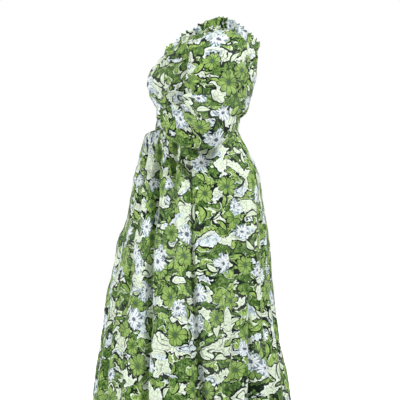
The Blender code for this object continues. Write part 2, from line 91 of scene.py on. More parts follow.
BODY_GATHERS = 9
SLEEVE_GATHERS = 7
NECK_GATHER_DEPTH = 0.0028
NECK_GATHER_FADE = 0.060
WAIST_GATHER_DEPTH = 0.0026
WAIST_GATHER_FADE = 0.035
CUFF_GATHER_DEPTH = 0.0030
CUFF_GATHER_FADE = 0.050
SKIRT_GATHERS = 16  # on each half of the skirt
SKIRT_GATHER_FRONT = 0.0050
SKIRT_GATHER_BACK = 0.0018
SKIRT_GATHER_FADE = 0.110

GATHER_START = 0.006  # how far from the elastic or the waistband the gathers are whole
# How the gathers stray, in waves, and swell, in shares of their depth. Their pitches, and where they
# start beside a seam, are shares of a piece's width.
GATHER_STRAY, GATHER_STRAY_PITCH, GATHER_STRAY_START = 0.30, 0.37, 0.1
GATHER_SWELL, GATHER_SWELL_PITCH, GATHER_SEAM_START = 0.35, 0.23, 0.02
FINE_GATHER_START = 0.004
SKIRT_GATHER_START = 0.010
SKIRT_GATHER_SHARPNESS = 0.25
SKIRT_STRAY, SKIRT_STRAY_PITCH, SKIRT_STRAY_START = 0.38, 0.31, 0.05
SKIRT_FINE_GATHERS = 2.7  # for each broad one
SKIRT_FINE_SHARE, SKIRT_FINE_FADE = 0.30, 0.050
CUFF_FINE_GATHERS = 19
CUFF_FINE_DEPTH, CUFF_FINE_FADE = 0.0010, 0.022
CAP_GATHER_START = 0.05

Pucker = namedtuple("Pucker", "pitch stray fade share")
PUCKERS = [
    Pucker(0.0105, 1.6, 0.022, 1.0),
    Pucker(0.0270, 2.2, 0.075, 1.5),
]
PUCKER_START = 0.002
PUCKER_STRAY_PITCH = 0.06
PUCKER_SWELL, PUCKER_SWELL_PITCH, PUCKER_SWELL_STRETCH = 0.4, 0.09, 0.2

Yoke = namedtuple("Yoke", "share front_y front_z back_y back_z")
YOKE = [
    Yoke(1.00, NECK_FRONT_Y, NECK_SIDE_Z - NECK_FRONT_DIP, NECK_BACK_Y, NECK_SIDE_Z - NECK_BACK_DIP),
    Yoke(0.74, -0.1675, -0.099, 0.1412, -0.089),
    Yoke(0.48, -0.1755, -0.110, 0.1420, -0.103),
    Yoke(0.23, -0.1860, -0.121, 0.1415, -0.117),
    Yoke(0.00, -0.1945, -0.132, 0.1405, -0.131),
]

Level = namedtuple("Level", "z front back half_width side_y")
BODICE = [
    Level(-0.1520, -0.2030, 0.1385, 0.179, 0.004),
    Level(-0.1750, -0.2060, 0.1335, 0.177, -0.004),
    Level(-0.1970, -0.2020, 0.1275, 0.173, -0.014),
    Level(-0.2170, -0.1950, 0.1215, 0.169, -0.023),
    Level(-0.2340, -0.1860, 0.1155, 0.166, -0.030),
    Level(-0.2480, -0.1770, 0.1135, 0.165, -0.035),
    Level(-0.2590, -0.1775, 0.1095, 0.163, -0.039),
    Level(-0.2680, -0.1785, 0.0995, 0.160, -0.042),
    Level(-0.2740, -0.1785, 0.0920, 0.157, -0.044),
    Level(-0.2797, -0.1785, 0.0880, 0.155, -0.045),
]
WAISTBAND = [
    Level(-0.2800, -0.1780, 0.0875, 0.154, -0.045),
    Level(-0.2990, -0.1800, 0.0850, 0.153, -0.046),
    Level(-0.3180, -0.1860, 0.0825, 0.155, -0.047),
]
SKIRT = [
    Level(-0.3183, -0.1870, 0.0830, 0.156, -0.047),
    Level(-0.3280, -0.2110, 0.0870, 0.166, -0.048),
    Level(-0.3520, -0.2220, 0.0970, 0.180, -0.050),
    Level(-0.3830, -0.2290, 0.1145, 0.198, -0.050),
    Level(-0.4200, -0.2390, 0.1345, 0.213, -0.050),
    Level(-0.4730, -0.2530, 0.1520, 0.232, -0.050),
    Level(-0.5380, -0.2640, 0.1590, 0.247, -0.050),
    Level(-0.5950, -0.2730, 0.1690, 0.260, -0.052),
    Level(-0.6620, -0.2920, 0.1810, 0.275, -0.055),
    Level(-0.7650, -0.3090, 0.1890, 0.293, -0.060),
    Level(-0.8800, -0.3340, 0.1990, 0.311, -0.064),
    Level(-0.9950, -0.3510, 0.2200, 0.328, -0.066),
    Level(-1.1200, -0.3700, 0.2430, 0.348, -0.068),
    Level(-1.2700, -0.3880, 0.2560, 0.365, -0.068),
]

Fold = namedtuple("Fold", "waist_deg knee_deg hem_deg start_z waist_depth hem_depth spread_deg pinch")
FOLDS = [
    Fold(-174.0, -174.0, -171.0, -0.44, 0.000, 0.028, 5.0, 0.9),
    Fold(-158.0, -156.0, -150.0, -0.38, 0.003, 0.034, 5.2, 0.9),
    Fold(-138.0, -133.0, -128.0, -0.46, 0.000, 0.026, 4.8, 0.9),
    Fold(-112.0, -110.0, -104.0, -0.38, 0.003, 0.033, 5.2, 0.9),
    Fold(-88.0, -87.0, -82.0, -0.35, 0.008, 0.028, 4.6, 0.9),
    Fold(-66.0, -64.0, -60.0, -0.36, 0.006, 0.034, 4.6, 0.9),
    Fold(-46.0, -43.0, -38.0, -0.33, 0.012, 0.030, 4.4, 0.9),
    Fold(-26.0, -25.0, -21.0, -0.56, 0.000, 0.030, 4.6, 0.9),
    Fold(-8.0, -8.0, -8.0, -0.585, -0.021, -0.010, 7.0, 0.9),
    Fold(3.0, 3.0, 8.0, -0.46, 0.003, 0.020, 4.2, 0.9),
    Fold(14.0, 18.0, 31.0, -0.60, 0.000, 0.030, 4.6, 0.9),
    Fold(27.0, 36.0, 46.0, -0.36, 0.010, 0.004, 4.0, 0.9),
    Fold(45.5, 56.0, 63.0, -0.32, 0.026, 0.038, 4.0, 1.7),
    Fold(68.0, 73.0, 79.0, -0.32, 0.014, 0.004, 3.8, 0.4),
    Fold(83.0, 88.0, 101.0, -0.37, 0.006, 0.034, 4.6, 0.9),
    Fold(130.0, 121.0, 111.0, -0.46, 0.000, 0.012, 5.0, 2.6),
    Fold(146.0, 138.0, 124.0, -0.76, 0.000, 0.030, 4.8, 1.5),
    Fold(159.0, 152.0, 142.0, -0.50, 0.000, 0.014, 5.2, 2.6),
    Fold(170.0, 167.0, 161.0, -0.62, 0.000, 0.026, 5.0, 1.4),
]
FOLD_ONSET = 0.090
PINCH_WIDTH = 0.40
DEEPEST_PINCH = 0.0135  # keeps the bottom of each fold near the skirt's solid
VALLEY_POWER = 1.5
FOLD_DEEPENING = 0.8
FOLD_STRAY, FOLD_STRAY_TURN = 0.16, 19.0
FOLD_CROWDING = 2.6
KNEE_SHARE = 0.42
KNEE_LINE_STEPS = 4000
SKIRT_ROW_CROWDING, SKIRT_ROW_POWER = 0.35, 2.2

Ring = namedtuple("Ring", "front_y front_z back_y back_z centre_x half_width")
ARMHOLE = Ring(-0.074, -0.118, 0.096, -0.110, 0.238, 0.056)
BENT_ARM = [
    Ring(-0.0765, -0.1440, 0.0925, -0.1560, 0.244, 0.058),
    Ring(-0.0795, -0.1740, 0.0880, -0.1980, 0.246, 0.059),
    Ring(-0.0825, -0.2030, 0.0800, -0.2420, 0.247, 0.060),
    Ring(-0.0860, -0.2260, 0.0670, -0.2890, 0.248, 0.060),
    Ring(-0.0895, -0.2370, 0.0500, -0.3370, 0.248, 0.060),
    Ring(-0.0940, -0.2430, 0.0220, -0.3740, 0.247, 0.059),
    Ring(-0.1005, -0.2465, -0.0160, -0.3870, 0.243, 0.057),
    Ring(-0.1080, -0.2490, -0.0550, -0.3865, 0.235, 0.055),
    Ring(-0.1180, -0.2515, -0.0890, -0.3785, 0.224, 0.051),
    Ring(-0.1310, -0.2545, -0.1170, -0.3660, 0.210, 0.046),
    Ring(-0.1430, -0.2575, -0.1385, -0.3510, 0.196, 0.041),
    Ring(-0.1520, -0.2600, -0.1510, -0.3350, 0.184, 0.037),
]
HANGING_ARM = [
    Ring(-0.086, -0.146, 0.080, -0.166, 0.246, 0.059),
    Ring(-0.104, -0.181, 0.051, -0.223, 0.250, 0.061),
    Ring(-0.127, -0.227, 0.013, -0.288, 0.254, 0.061),
    Ring(-0.150, -0.272, -0.033, -0.348, 0.257, 0.059),
    Ring(-0.174, -0.311, -0.083, -0.391, 0.258, 0.054),
    Ring(-0.196, -0.349, -0.127, -0.421, 0.256, 0.046),
    Ring(-0.2155, -0.3865, -0.1645, -0.4415, 0.253, 0.038),
]


def ink(red, green, blue):
    """The linear colour of an ink that is named by its three screen values, 0 to 255."""
    shares = [value / 255.0 for value in (red, green, blue)]
    return tuple(s / 12.92 if s <= 0.04045 else ((s + 0.055) / 1.055) ** 2.4 for s in shares)


# ---------------------------------------------------------------- what a user may change
class DressPrint(bpy.types.PropertyGroup):
    """The inks and the scale of the wax print."""

    cream: FloatVectorProperty(
        name="Cream ground", description="The undyed ground", subtype="COLOR", default=ink(227, 239, 216)
    )
    pale: FloatVectorProperty(
        name="Pale blue ground", description="The ground under the daisies", subtype="COLOR",
        default=ink(221, 234, 238),
    )
    leaf: FloatVectorProperty(
        name="Leaf green", description="The main green", subtype="COLOR", default=ink(92, 132, 58)
    )
    bright: FloatVectorProperty(
        name="Bright green", description="The lit green in leaves and flowers", subtype="COLOR",
        default=ink(168, 199, 110),
    )
    deep: FloatVectorProperty(
        name="Deep green", description="The veins and the edges of leaves", subtype="COLOR",
        default=ink(36, 70, 30),
    )
    outline: FloatVectorProperty(
        name="Outline", description="The dark line round each shape", subtype="COLOR",
        default=ink(12, 26, 16),
    )
    petal: FloatVectorProperty(
        name="Petal white", description="The daisies' petals", subtype="COLOR", default=ink(243, 248, 249)
    )
    slate: FloatVectorProperty(
        name="Slate blue", description="The daisies' hearts and shadows", subtype="COLOR",
        default=ink(84, 106, 132),
    )
    patch_size: FloatProperty(
        name="Patch size", description="From one patch of ground to the next", subtype="DISTANCE",
        default=0.050, min=0.01,
    )
    lobe_size: FloatProperty(
        name="Lobe size", description="From one lobe of a patch's edge to the next", subtype="DISTANCE",
        default=0.012, min=0.004,
    )
    rosette_spacing: FloatProperty(
        name="Rosette spacing", description="From one green flower to the next", subtype="DISTANCE",
        default=0.112, min=0.02,
    )
    rosette_radius: FloatProperty(
        name="Rosette radius", description="Size of the green flowers", subtype="DISTANCE",
        default=0.033, min=0.005,
    )
    daisy_spacing: FloatProperty(
        name="Daisy spacing", description="From one daisy to the next", subtype="DISTANCE",
        default=0.097, min=0.02,
    )
    daisy_radius: FloatProperty(
        name="Daisy radius", description="Size of the daisies", subtype="DISTANCE", default=0.030, min=0.005
    )
    leaf_spacing: FloatProperty(
        name="Leaf spacing", description="From one single leaf to the next", subtype="DISTANCE",
        default=0.070, min=0.02,
    )
    leaf_length: FloatProperty(
        name="Leaf length", description="Half of a single leaf's length", subtype="DISTANCE",
        default=0.024, min=0.005,
    )
    line_width: FloatProperty(
        name="Line width", description="Width of the dark outlines", subtype="DISTANCE",
        default=0.0054, min=0.0001,
    )


class DressCloth(bpy.types.PropertyGroup):
    """The cloth, its frills and its gathers."""

    thickness: FloatProperty(
        name="Cloth thickness", description="Two layers at hems and seams", subtype="DISTANCE",
        default=0.0007, min=0.0002,
    )
    thread_pitch: FloatProperty(
        name="Thread pitch", description="From one thread of the weave to the next", subtype="DISTANCE",
        default=0.00042, min=0.0001,
    )
    frill_waves: IntProperty(
        name="Frill waves", description="Waves round the neckline's frill", default=48, min=8
    )
    frill_depth: FloatProperty(
        name="Frill depth", description="How far the frill's free edge waves", subtype="DISTANCE",
        default=0.0084, min=0.0,
    )
    cuff_waves: IntProperty(name="Cuff waves", description="Waves round each cuff's frill", default=10, min=4)
    cuff_depth: FloatProperty(
        name="Cuff wave depth", description="How far a cuff's free edge waves", subtype="DISTANCE",
        default=0.0026, min=0.0,
    )
    pucker_depth: FloatProperty(
        name="Pucker depth", description="Fine puckers along the elastic", subtype="DISTANCE",
        default=0.0015, min=0.0,
    )


class DressThread(bpy.types.PropertyGroup):
    """The sewing thread and its stitches."""

    colour: FloatVectorProperty(
        name="Thread", description="Colour of the sewing thread", subtype="COLOR", default=ink(206, 220, 190)
    )
    stitch_length: FloatProperty(
        name="Stitch length", description="Length of one stitch", subtype="DISTANCE",
        default=0.0026, min=0.0005,
    )
    stitch_pitch: FloatProperty(
        name="Stitch pitch", description="From one stitch to the next", subtype="DISTANCE",
        default=0.0033, min=0.0006,
    )
    thread_radius: FloatProperty(
        name="Thread radius", description="Half of the thread's thickness", subtype="DISTANCE",
        default=0.00028, min=0.0001,
    )


# ---------------------------------------------------------------- small curves
def blend(a, b, share):
    return a + (b - a) * share


def smooth_step(value):
    value = np.clip(value, 0.0, 1.0)
    return value * value * (3.0 - 2.0 * value)


def fading(distance, fade):
    return np.exp(-((distance / fade) ** 2))


def lengths(vectors):
    return np.linalg.norm(vectors, axis=-1)


def normalised(vectors):
    return vectors / np.maximum(lengths(vectors), 1e-12)[..., None]


def through(knots, values, wanted):
    """Values between the knots, on a smooth curve that never overshoots them."""
    knots, values, wanted = (np.asarray(item, float) for item in (knots, values, wanted))
    values = values.reshape(len(knots), -1)
    steps = np.diff(knots)[:, None]
    rises = np.diff(values, axis=0) / steps
    before, after = rises[:-1], rises[1:]
    same_way = before * after > 0.0
    slopes = np.zeros_like(values)
    slopes[0], slopes[-1] = rises[0], rises[-1]
    product, total = before * after * 2.0, before + after
    slopes[1:-1] = np.where(same_way, product / np.where(same_way, total, 1.0), 0.0)
    left = np.clip(np.searchsorted(knots, wanted, "right") - 1, 0, len(knots) - 2)
    step = steps[left]
    s = np.clip((wanted - knots[left]) / step[:, 0], 0.0, 1.0)[:, None]
    start, end = values[left], values[left + 1]
    pull = (s - 1.0) * s * step
    found = start + (end - start) * s * s * (3.0 - 2.0 * s)
    found += pull * ((s - 1.0) * slopes[left] + s * slopes[left + 1])
    return found[:, 0] if found.shape[1] == 1 else found


def chord(points):
    """How far along a line of points each one lies."""
    return np.concatenate([[0.0], np.cumsum(lengths(np.diff(points, axis=0)))])


RIPPLE_WAVES = 6
RIPPLE_TURN, RIPPLE_NUMBER_TURN = 2.399, 1.7
RIPPLE_FIRST_PITCH, RIPPLE_PITCH_STEP = 0.72, 0.13
RIPPLE_PHASE = 5.13


def ripple(x, y, size, number):
    """Soft, uneven waves, mostly from -1 to 1 and about size apart; each number gives other waves."""
    total = 0.0
    for wave in range(RIPPLE_WAVES):
        angle = RIPPLE_TURN * (wave + RIPPLE_NUMBER_TURN * number)
        pitch = size * (RIPPLE_FIRST_PITCH + RIPPLE_PITCH_STEP * wave)
        phase = RIPPLE_PHASE * (wave + 1) * (number + 1)
        total = total + np.sin(TURN * (x * math.cos(angle) + y * math.sin(angle)) / pitch + phase)
    return total / (RIPPLE_WAVES / 2.0)


# ---------------------------------------------------------------- the neckline and the sleeve seams
def neckline(degrees):
    """The elastic's line; 0 degrees is the front centre and 90 the left shoulder."""
    angle = np.radians(np.asarray(degrees, float))
    toward = np.cos(angle)
    at_front = toward > 0
    end_y = np.where(at_front, NECK_FRONT_Y, NECK_BACK_Y)
    dip = np.where(at_front, NECK_FRONT_DIP, NECK_BACK_DIP)
    rounding = np.where(at_front, NECK_FRONT_ROUNDING, NECK_BACK_ROUNDING)
    fallen = (np.hypot(toward, rounding) - rounding) / (np.hypot(1.0, rounding) - rounding)
    return np.stack([
        NECK_HALF_WIDTH * np.sin(angle),
        blend(NECK_SIDE_Y, end_y, abs(toward)),
        NECK_SIDE_Z - dip * fallen,
    ], axis=-1)


def neck_outward(degrees):
    """Outward across the elastic, level all round."""
    along = neckline(degrees + 0.5) - neckline(degrees - 0.5)
    outward = np.cross(along, UP)
    outward[..., 2] = 0.0
    return normalised(outward)


def ring_point(ring, degrees):
    """Round one ring: -90 is the side next to the body, 0 the front, 90 the outer side."""
    front_y, front_z, back_y, back_z, centre_x, half_width = ring
    angle = np.radians(degrees)
    return np.stack([
        centre_x + half_width * np.sin(angle),
        blend((front_y + back_y) / 2.0, front_y, np.cos(angle)),
        blend((front_z + back_z) / 2.0, front_z, np.cos(angle)),
    ], axis=-1)


def ring_middle(ring):
    return np.array((ring[4], (ring[0] + ring[2]) / 2.0, (ring[1] + ring[3]) / 2.0))


UNDERARM = ring_point(ARMHOLE, -90.0)


def raglan_point(share, is_front):
    """On the left sleeve's seam: share 0 is the underarm and 1 the neckline."""
    pull = RAGLAN_FRONT_PULL if is_front else RAGLAN_BACK_PULL
    end = neckline(RAGLAN_FRONT_DEG if is_front else RAGLAN_BACK_DEG)
    share = np.asarray(share, float)[..., None]
    back = 1.0 - share
    return UNDERARM * back * back + pull * 2.0 * share * back + end * share * share


# ---------------------------------------------------------------- grids of the body
def arc_rows(centres, edges, turn_degrees, columns):
    """Rows from the mirrored edge, through centre, to edge, on arcs that turn by turn_degrees each way."""
    side = np.linspace(-1.0, 1.0, columns + 1)[None, :]
    turn = np.radians(turn_degrees)[:, None]
    lift = (np.cos(side * turn) - np.cos(turn)) / (1.0 - np.cos(turn))
    return np.stack([
        edges[:, :1] * np.sin(side * turn) / np.sin(turn),
        blend(edges[:, 1:2], centres[:, :1], lift),
        blend(edges[:, 2:3], centres[:, 1:2], lift),
    ], axis=-1)


def gathered(grid, waves, depth, number):
    """Moves the points in and out along uneven waves; the first and the last column stay in their seams."""
    across = np.linspace(0.0, 1.0, grid.shape[1])[None, :]
    from_seam = np.minimum(across, 1.0 - across)
    stray = GATHER_STRAY * ripple(across, 0.0, GATHER_STRAY_PITCH, number)
    wave = np.sin(TURN * (waves * across + stray * smooth_step(from_seam / GATHER_STRAY_START)))
    size = 1.0 + GATHER_SWELL * ripple(across, 0.0, GATHER_SWELL_PITCH, number + 3)
    along = np.gradient(grid, axis=1)
    outward = normalised(np.cross(along, UP))
    return grid + outward * (wave * size * depth * smooth_step(from_seam / GATHER_SEAM_START))[..., None]


def bodice_grid(is_front, rows, columns):
    yoke_centres = [(y.front_y, y.front_z) if is_front else (y.back_y, y.back_z) for y in YOKE]
    level_centres = [(level.front if is_front else level.back, level.z) for level in BODICE]
    knots = chord(np.array(yoke_centres + level_centres))
    at = np.linspace(0.0, knots[-1], rows + 1)
    centres = through(knots, yoke_centres + level_centres, at)
    yoke_count = len(YOKE)
    share = np.interp(at, knots[:yoke_count], [y.share for y in YOKE])
    below = at > knots[yoke_count - 1]
    edges = raglan_point(share, is_front)
    sides = [UNDERARM] + [(level.half_width, level.side_y, level.z) for level in BODICE]
    edges[below] = through(knots[yoke_count - 1:], sides, at[below])
    centre_deg, end_deg = (0.0, RAGLAN_FRONT_DEG) if is_front else (180.0, RAGLAN_BACK_DEG)
    half_deg = end_deg - centre_deg
    grid = arc_rows(centres, edges, blend(90.0, abs(half_deg), share), columns)
    side = np.linspace(-1.0, 1.0, columns + 1)
    neck_row = neckline(centre_deg + half_deg * side)
    onto_neck = np.clip(1.0 - at / knots[1], 0.0, 1.0)[:, None, None]
    grid += (neck_row - grid[0]) * onto_neck
    off_neck = smooth_step(at / GATHER_START)[:, None]
    if is_front:
        from_seam = (1.0 - abs(side))[None, :] / 2.0
        across = (abs(grid[..., 0]) - CUP_X) / CUP_SPREAD
        up = (grid[..., 2] - CUP_Z) / CUP_SPREAD
        fullness = np.exp(-across ** 2 - up ** 2) * smooth_step(from_seam / CUP_CLEAR)
        grid[..., 1] -= CUP_DEPTH * fullness * (1.0 - onto_neck[..., 0])
    else:
        grid = grid[:, ::-1]
    below_neck = np.maximum(0.0, NECK_SIDE_Z - NECK_BACK_DIP - grid[..., 2])
    above_band = np.maximum(0.0, grid[..., 2] - WAISTBAND[0].z)
    beside_band = smooth_step(above_band / GATHER_START) * fading(above_band, WAIST_GATHER_FADE)
    depth = NECK_GATHER_DEPTH * fading(below_neck, NECK_GATHER_FADE) * off_neck
    return gathered(grid, BODY_GATHERS, depth + WAIST_GATHER_DEPTH * beside_band, 1 if is_front else 2)


def elastic_gathers(across, down, depth, number):
    """Puckers of two sizes that hang from the elastic and die away down the cloth."""
    stray = ripple(across, down, PUCKER_STRAY_PITCH, number)
    waves = sum(
        size.share * np.sin(TURN * across / size.pitch + size.stray * stray) * fading(down, size.fade)
        for size in PUCKERS
    )
    hung = 1.0 + PUCKER_SWELL * ripple(across, PUCKER_SWELL_STRETCH * down, PUCKER_SWELL_PITCH, number + 2)
    return depth * smooth_step(down / PUCKER_START) * hung * waves


def level_values(levels, heights):
    """front, back, half_width and side_y at those heights."""
    knots = [-level.z for level in levels]
    return through(knots, [level[1:] for level in levels], -np.asarray(heights))


def level_grid(levels, heights, degrees):
    """Points round the body; degrees has a row for each height."""
    front, back, half_width, side_y = (column[:, None] for column in level_values(levels, heights).T)
    angle = np.radians(degrees)
    end_y = np.where(np.cos(angle) > 0, front, back)
    return np.stack([
        half_width * np.sin(angle),
        side_y + (end_y - side_y) * abs(np.cos(angle)),
        np.asarray(heights)[:, None] + 0.0 * angle,
    ], axis=-1)


def share_down(z):
    return (SKIRT[0].z - z) / (SKIRT[0].z - SKIRT[-1].z)


def fold_deg(fold, z):
    """Where the fold lies at that height, on the curve through its three angles."""
    down = share_down(z)
    return (
        fold.waist_deg * (KNEE_SHARE - down) * (1.0 - down) / KNEE_SHARE
        + fold.knee_deg * down * (1.0 - down) / (KNEE_SHARE * (1.0 - KNEE_SHARE))
        + fold.hem_deg * down * (down - KNEE_SHARE) / (1.0 - KNEE_SHARE)
    )


def degrees_past(degrees, other):
    """How far degrees lies past other, from -180 to 180."""
    return (degrees - other + 180.0) % 360.0 - 180.0


def fold_intake(fold, degrees, z):
    """How far this fold takes the skirt in: a soft dip, and a narrow valley where the cloth turns back."""
    away = degrees_past(degrees, fold_deg(fold, z))
    opened = smooth_step((fold.start_z - z) / FOLD_ONSET)
    depth = blend(fold.waist_depth, fold.hem_depth, share_down(z) ** FOLD_DEEPENING)
    stray = 1.0 + FOLD_STRAY * np.sin(FOLD_STRAY_TURN * z + fold.knee_deg)
    dip = depth * np.sqrt(stray) * fading(away, fold.spread_deg * stray)
    pinch = DEEPEST_PINCH * np.tanh(fold.pinch * np.maximum(0.0, depth) / DEEPEST_PINCH)
    valley = pinch * np.exp(-abs(away / (PINCH_WIDTH * fold.spread_deg)) ** VALLEY_POWER)
    return opened * (dip + valley)


def crowded_degs(first_deg, columns):
    """Where the columns cross the knee line: closer together in the folds than between them."""
    fine = first_deg + 180.0 * np.linspace(0.0, 1.0, KNEE_LINE_STEPS + 1)
    crowd = np.ones(fine.shape)
    for fold in FOLDS:
        crowd += FOLD_CROWDING * fold.pinch * fading(degrees_past(fine, fold.knee_deg), fold.spread_deg)
    count = np.concatenate([[0.0], np.cumsum((crowd[1:] + crowd[:-1]) / 2.0)])
    return np.interp(np.linspace(0.0, count[-1], columns + 1), count, fine)


def skirt_grid(first_deg, rows, columns, stray_number):
    """Half of the skirt, whose columns follow the folds; the first crosses the knee line at first_deg."""
    top, hem = SKIRT[0].z, SKIRT[-1].z
    spaced = np.linspace(0.0, 1.0, rows + 1)
    heights = blend(top, hem, blend(spaced, spaced ** SKIRT_ROW_POWER, SKIRT_ROW_CROWDING))
    z = heights[:, None]
    knee_degs = crowded_degs(first_deg, columns)
    knots = np.array([fold.knee_deg for fold in FOLDS])
    knots = np.concatenate([knots, knots + 360.0, knots + 720.0])
    lies = np.concatenate([np.stack([fold_deg(fold, heights) for fold in FOLDS])] * 3)
    lies += np.repeat([0.0, 360.0, 720.0], len(FOLDS))[:, None]
    start = knee_degs + (360.0 if first_deg < 0 else 0.0)
    degrees = np.stack([np.interp(start, knots, lies[:, row]) for row in range(rows + 1)])
    grid = level_grid(SKIRT, heights, degrees)
    side_y = level_values(SKIRT, heights)[:, 3]
    axis = np.stack([np.zeros_like(heights), side_y, heights], axis=-1)[:, None, :]
    inward = normalised(axis - grid)
    below_band = top - z
    facing_front = (1.0 + np.cos(np.radians(degrees))) / 2.0
    gather_depth = blend(SKIRT_GATHER_BACK, SKIRT_GATHER_FRONT, facing_front)
    beside_band = smooth_step(below_band / SKIRT_GATHER_START) * fading(below_band, SKIRT_GATHER_FADE)
    across = (knee_degs[None, :] - first_deg) / 180.0
    from_seam = smooth_step(np.minimum(across, 1.0 - across) / SKIRT_STRAY_START)
    stray = SKIRT_STRAY * ripple(across, 0.0, SKIRT_STRAY_PITCH, stray_number) * from_seam
    wave = 1.0 + np.sin(TURN * (SKIRT_GATHERS * across + stray))
    wave = blend(wave, wave * wave, SKIRT_GATHER_SHARPNESS)
    fine = np.sin(TURN * (SKIRT_FINE_GATHERS * SKIRT_GATHERS * across + 2.0 * stray)) * from_seam
    fine = fine * smooth_step(below_band / FINE_GATHER_START) * fading(below_band, SKIRT_FINE_FADE)
    taken_in = gather_depth * (beside_band * wave + SKIRT_FINE_SHARE * fine)
    taken_in = taken_in + sum(fold_intake(fold, degrees, z) for fold in FOLDS)
    return grid + inward * taken_in[..., None], heights, degrees, across


# ---------------------------------------------------------------- grids of the sleeves
SLEEVE_CAP_ROWS, SLEEVE_TUBE_ROWS, SLEEVE_COLUMNS = 40, 120, 150
RING_START_DEG = -90.0  # the side next to the body


def cap_rows(share, columns):
    """Rows over the shoulder, from the front sleeve seam to the back one."""
    share = share[:, None]
    across = np.linspace(0.0, 1.0, columns + 1)[None, :]
    straight_front = blend(UNDERARM, neckline(RAGLAN_FRONT_DEG), share)
    straight_back = blend(UNDERARM, neckline(RAGLAN_BACK_DEG), share)
    front_bend = raglan_point(share[:, 0], True) - straight_front
    back_bend = raglan_point(share[:, 0], False) - straight_back
    at_arm = ring_point(ARMHOLE, RING_START_DEG + 360.0 * across)
    at_neck = neckline(blend(RAGLAN_FRONT_DEG, RAGLAN_BACK_DEG, across))
    rows = blend(at_arm, at_neck, share[..., None])
    rows = rows + front_bend[:, None] * ((1.0 - across) ** 2)[..., None]
    rows = rows + back_bend[:, None] * (across ** 2)[..., None]
    bulge = SHOULDER_BULGE * np.sin(math.pi * share) * np.sin(math.pi * across) ** SHOULDER_POWER
    rows[..., 0] += bulge * math.sqrt(0.5)
    rows[..., 2] += bulge * math.sqrt(0.5)
    return rows


def sleeve_grid(arm):
    """The left sleeve on that arm; from row SLEEVE_CAP_ROWS down each row is a whole ring."""
    share = np.linspace(1.0, 0.0, SLEEVE_CAP_ROWS + 1)
    cap = cap_rows(share, SLEEVE_COLUMNS)[:-1]
    rings = np.array([ARMHOLE, *arm])
    knots = chord(np.array([ring_middle(ring) for ring in rings]))
    at = np.linspace(0.0, knots[-1], SLEEVE_TUBE_ROWS + 1)
    across = np.linspace(0.0, 1.0, SLEEVE_COLUMNS + 1)
    fine_rings = through(knots, rings, at)
    tube = np.stack([ring_point(ring, RING_START_DEG + 360.0 * across) for ring in fine_rings])
    below = np.maximum(0.0, NECK_SIDE_Z - cap[..., 2])
    off_neck = smooth_step((1.0 - share[:-1]) / CAP_GATHER_START)[:, None]
    depth = NECK_GATHER_DEPTH * fading(below, NECK_GATHER_FADE) * off_neck
    cap = gathered(cap, SLEEVE_GATHERS, depth, SLEEVE_GATHERS_SET)
    middles = np.array([ring_middle(ring) for ring in fine_rings])[:, None]
    away = lengths(middles[:, 0] - middles[-1])[:, None]
    wave = np.sin(TURN * SLEEVE_GATHERS * across)[None, :]
    fine = np.sin(TURN * CUFF_FINE_GATHERS * across)[None, :]
    fine = fine * fading(away, CUFF_FINE_FADE) * smooth_step(away / FINE_GATHER_START)
    depth = wave * CUFF_GATHER_DEPTH * fading(away, CUFF_GATHER_FADE) + CUFF_FINE_DEPTH * fine
    return np.concatenate([cap, tube + normalised(tube - middles) * depth[..., None]])


# ---------------------------------------------------------------- creases
# A soft trough, or a ridge where the depth is negative, from one place of a piece to another. Places are
# shares across the columns and down the rows, and bow bends the line sideways, in metres.
Crease = namedtuple("Crease", "across down across_end down_end bow depth width")


def crease_list(*rows):
    """Creases from rows whose places are in percent and whose bow, depth and width are in millimetres."""
    return [Crease(*(n / 100.0 for n in row[:4]), *(n / 1000.0 for n in row[4:])) for row in rows]


BODICE_FRONT_CREASES = crease_list(
    (80, 2, 70, 42, 6, 3, 6.5),
    (70, 3, 63, 34, -4, 2.4, 6),
    (62, 2, 58, 27, 3, 2, 5),
    (52, 2, 53, 38, 0, 2.6, 6),
    (43, 2, 41, 30, 4, 2.2, 5.5),
    (34, 2, 30, 36, -3, 2.8, 6),
    (24, 2, 20, 30, -4, 2.4, 6),
    (97, 44, 80, 55, 10, 3.4, 9),
    (98, 62, 78, 70, 8, 3.6, 9),
    (97, 80, 76, 86, 6, 3, 8),
    (3, 46, 20, 56, -10, 3.4, 9),
    (3, 66, 24, 74, -8, 3.6, 9),
    (4, 82, 22, 90, -6, 2.6, 8),
    (66, 98, 69, 70, 4, 2.6, 6),
    (50, 98, 49, 72, 0, 2.2, 6),
    (36, 98, 33, 68, -4, 2.6, 6),
    (84, 98, 88, 76, 2, 2.2, 5.5),
)
BODICE_BACK_CREASES = crease_list(
    (14, 2, 20, 42, 6, 3, 7),
    (26, 2, 29, 50, 4, 2.8, 6.5),
    (38, 2, 39, 36, -3, 2.6, 6),
    (50, 2, 51, 48, 0, 3, 7),
    (62, 2, 60, 36, 3, 2.4, 6),
    (74, 2, 71, 50, -4, 3, 6.5),
    (87, 2, 81, 38, -6, 2.8, 7),
    (2, 52, 24, 66, 12, 4, 11),
    (3, 74, 30, 84, 10, 4.2, 10),
    (97, 54, 76, 68, -12, 4, 11),
    (97, 76, 72, 86, -10, 4, 10),
    (32, 98, 34, 68, 3, 3, 7),
    (45, 98, 44, 74, 0, 2.6, 6),
    (58, 98, 57, 66, 0, 3.2, 7),
    (70, 98, 68, 74, -3, 2.6, 6),
    (18, 98, 20, 80, 2, 2.4, 6),
)
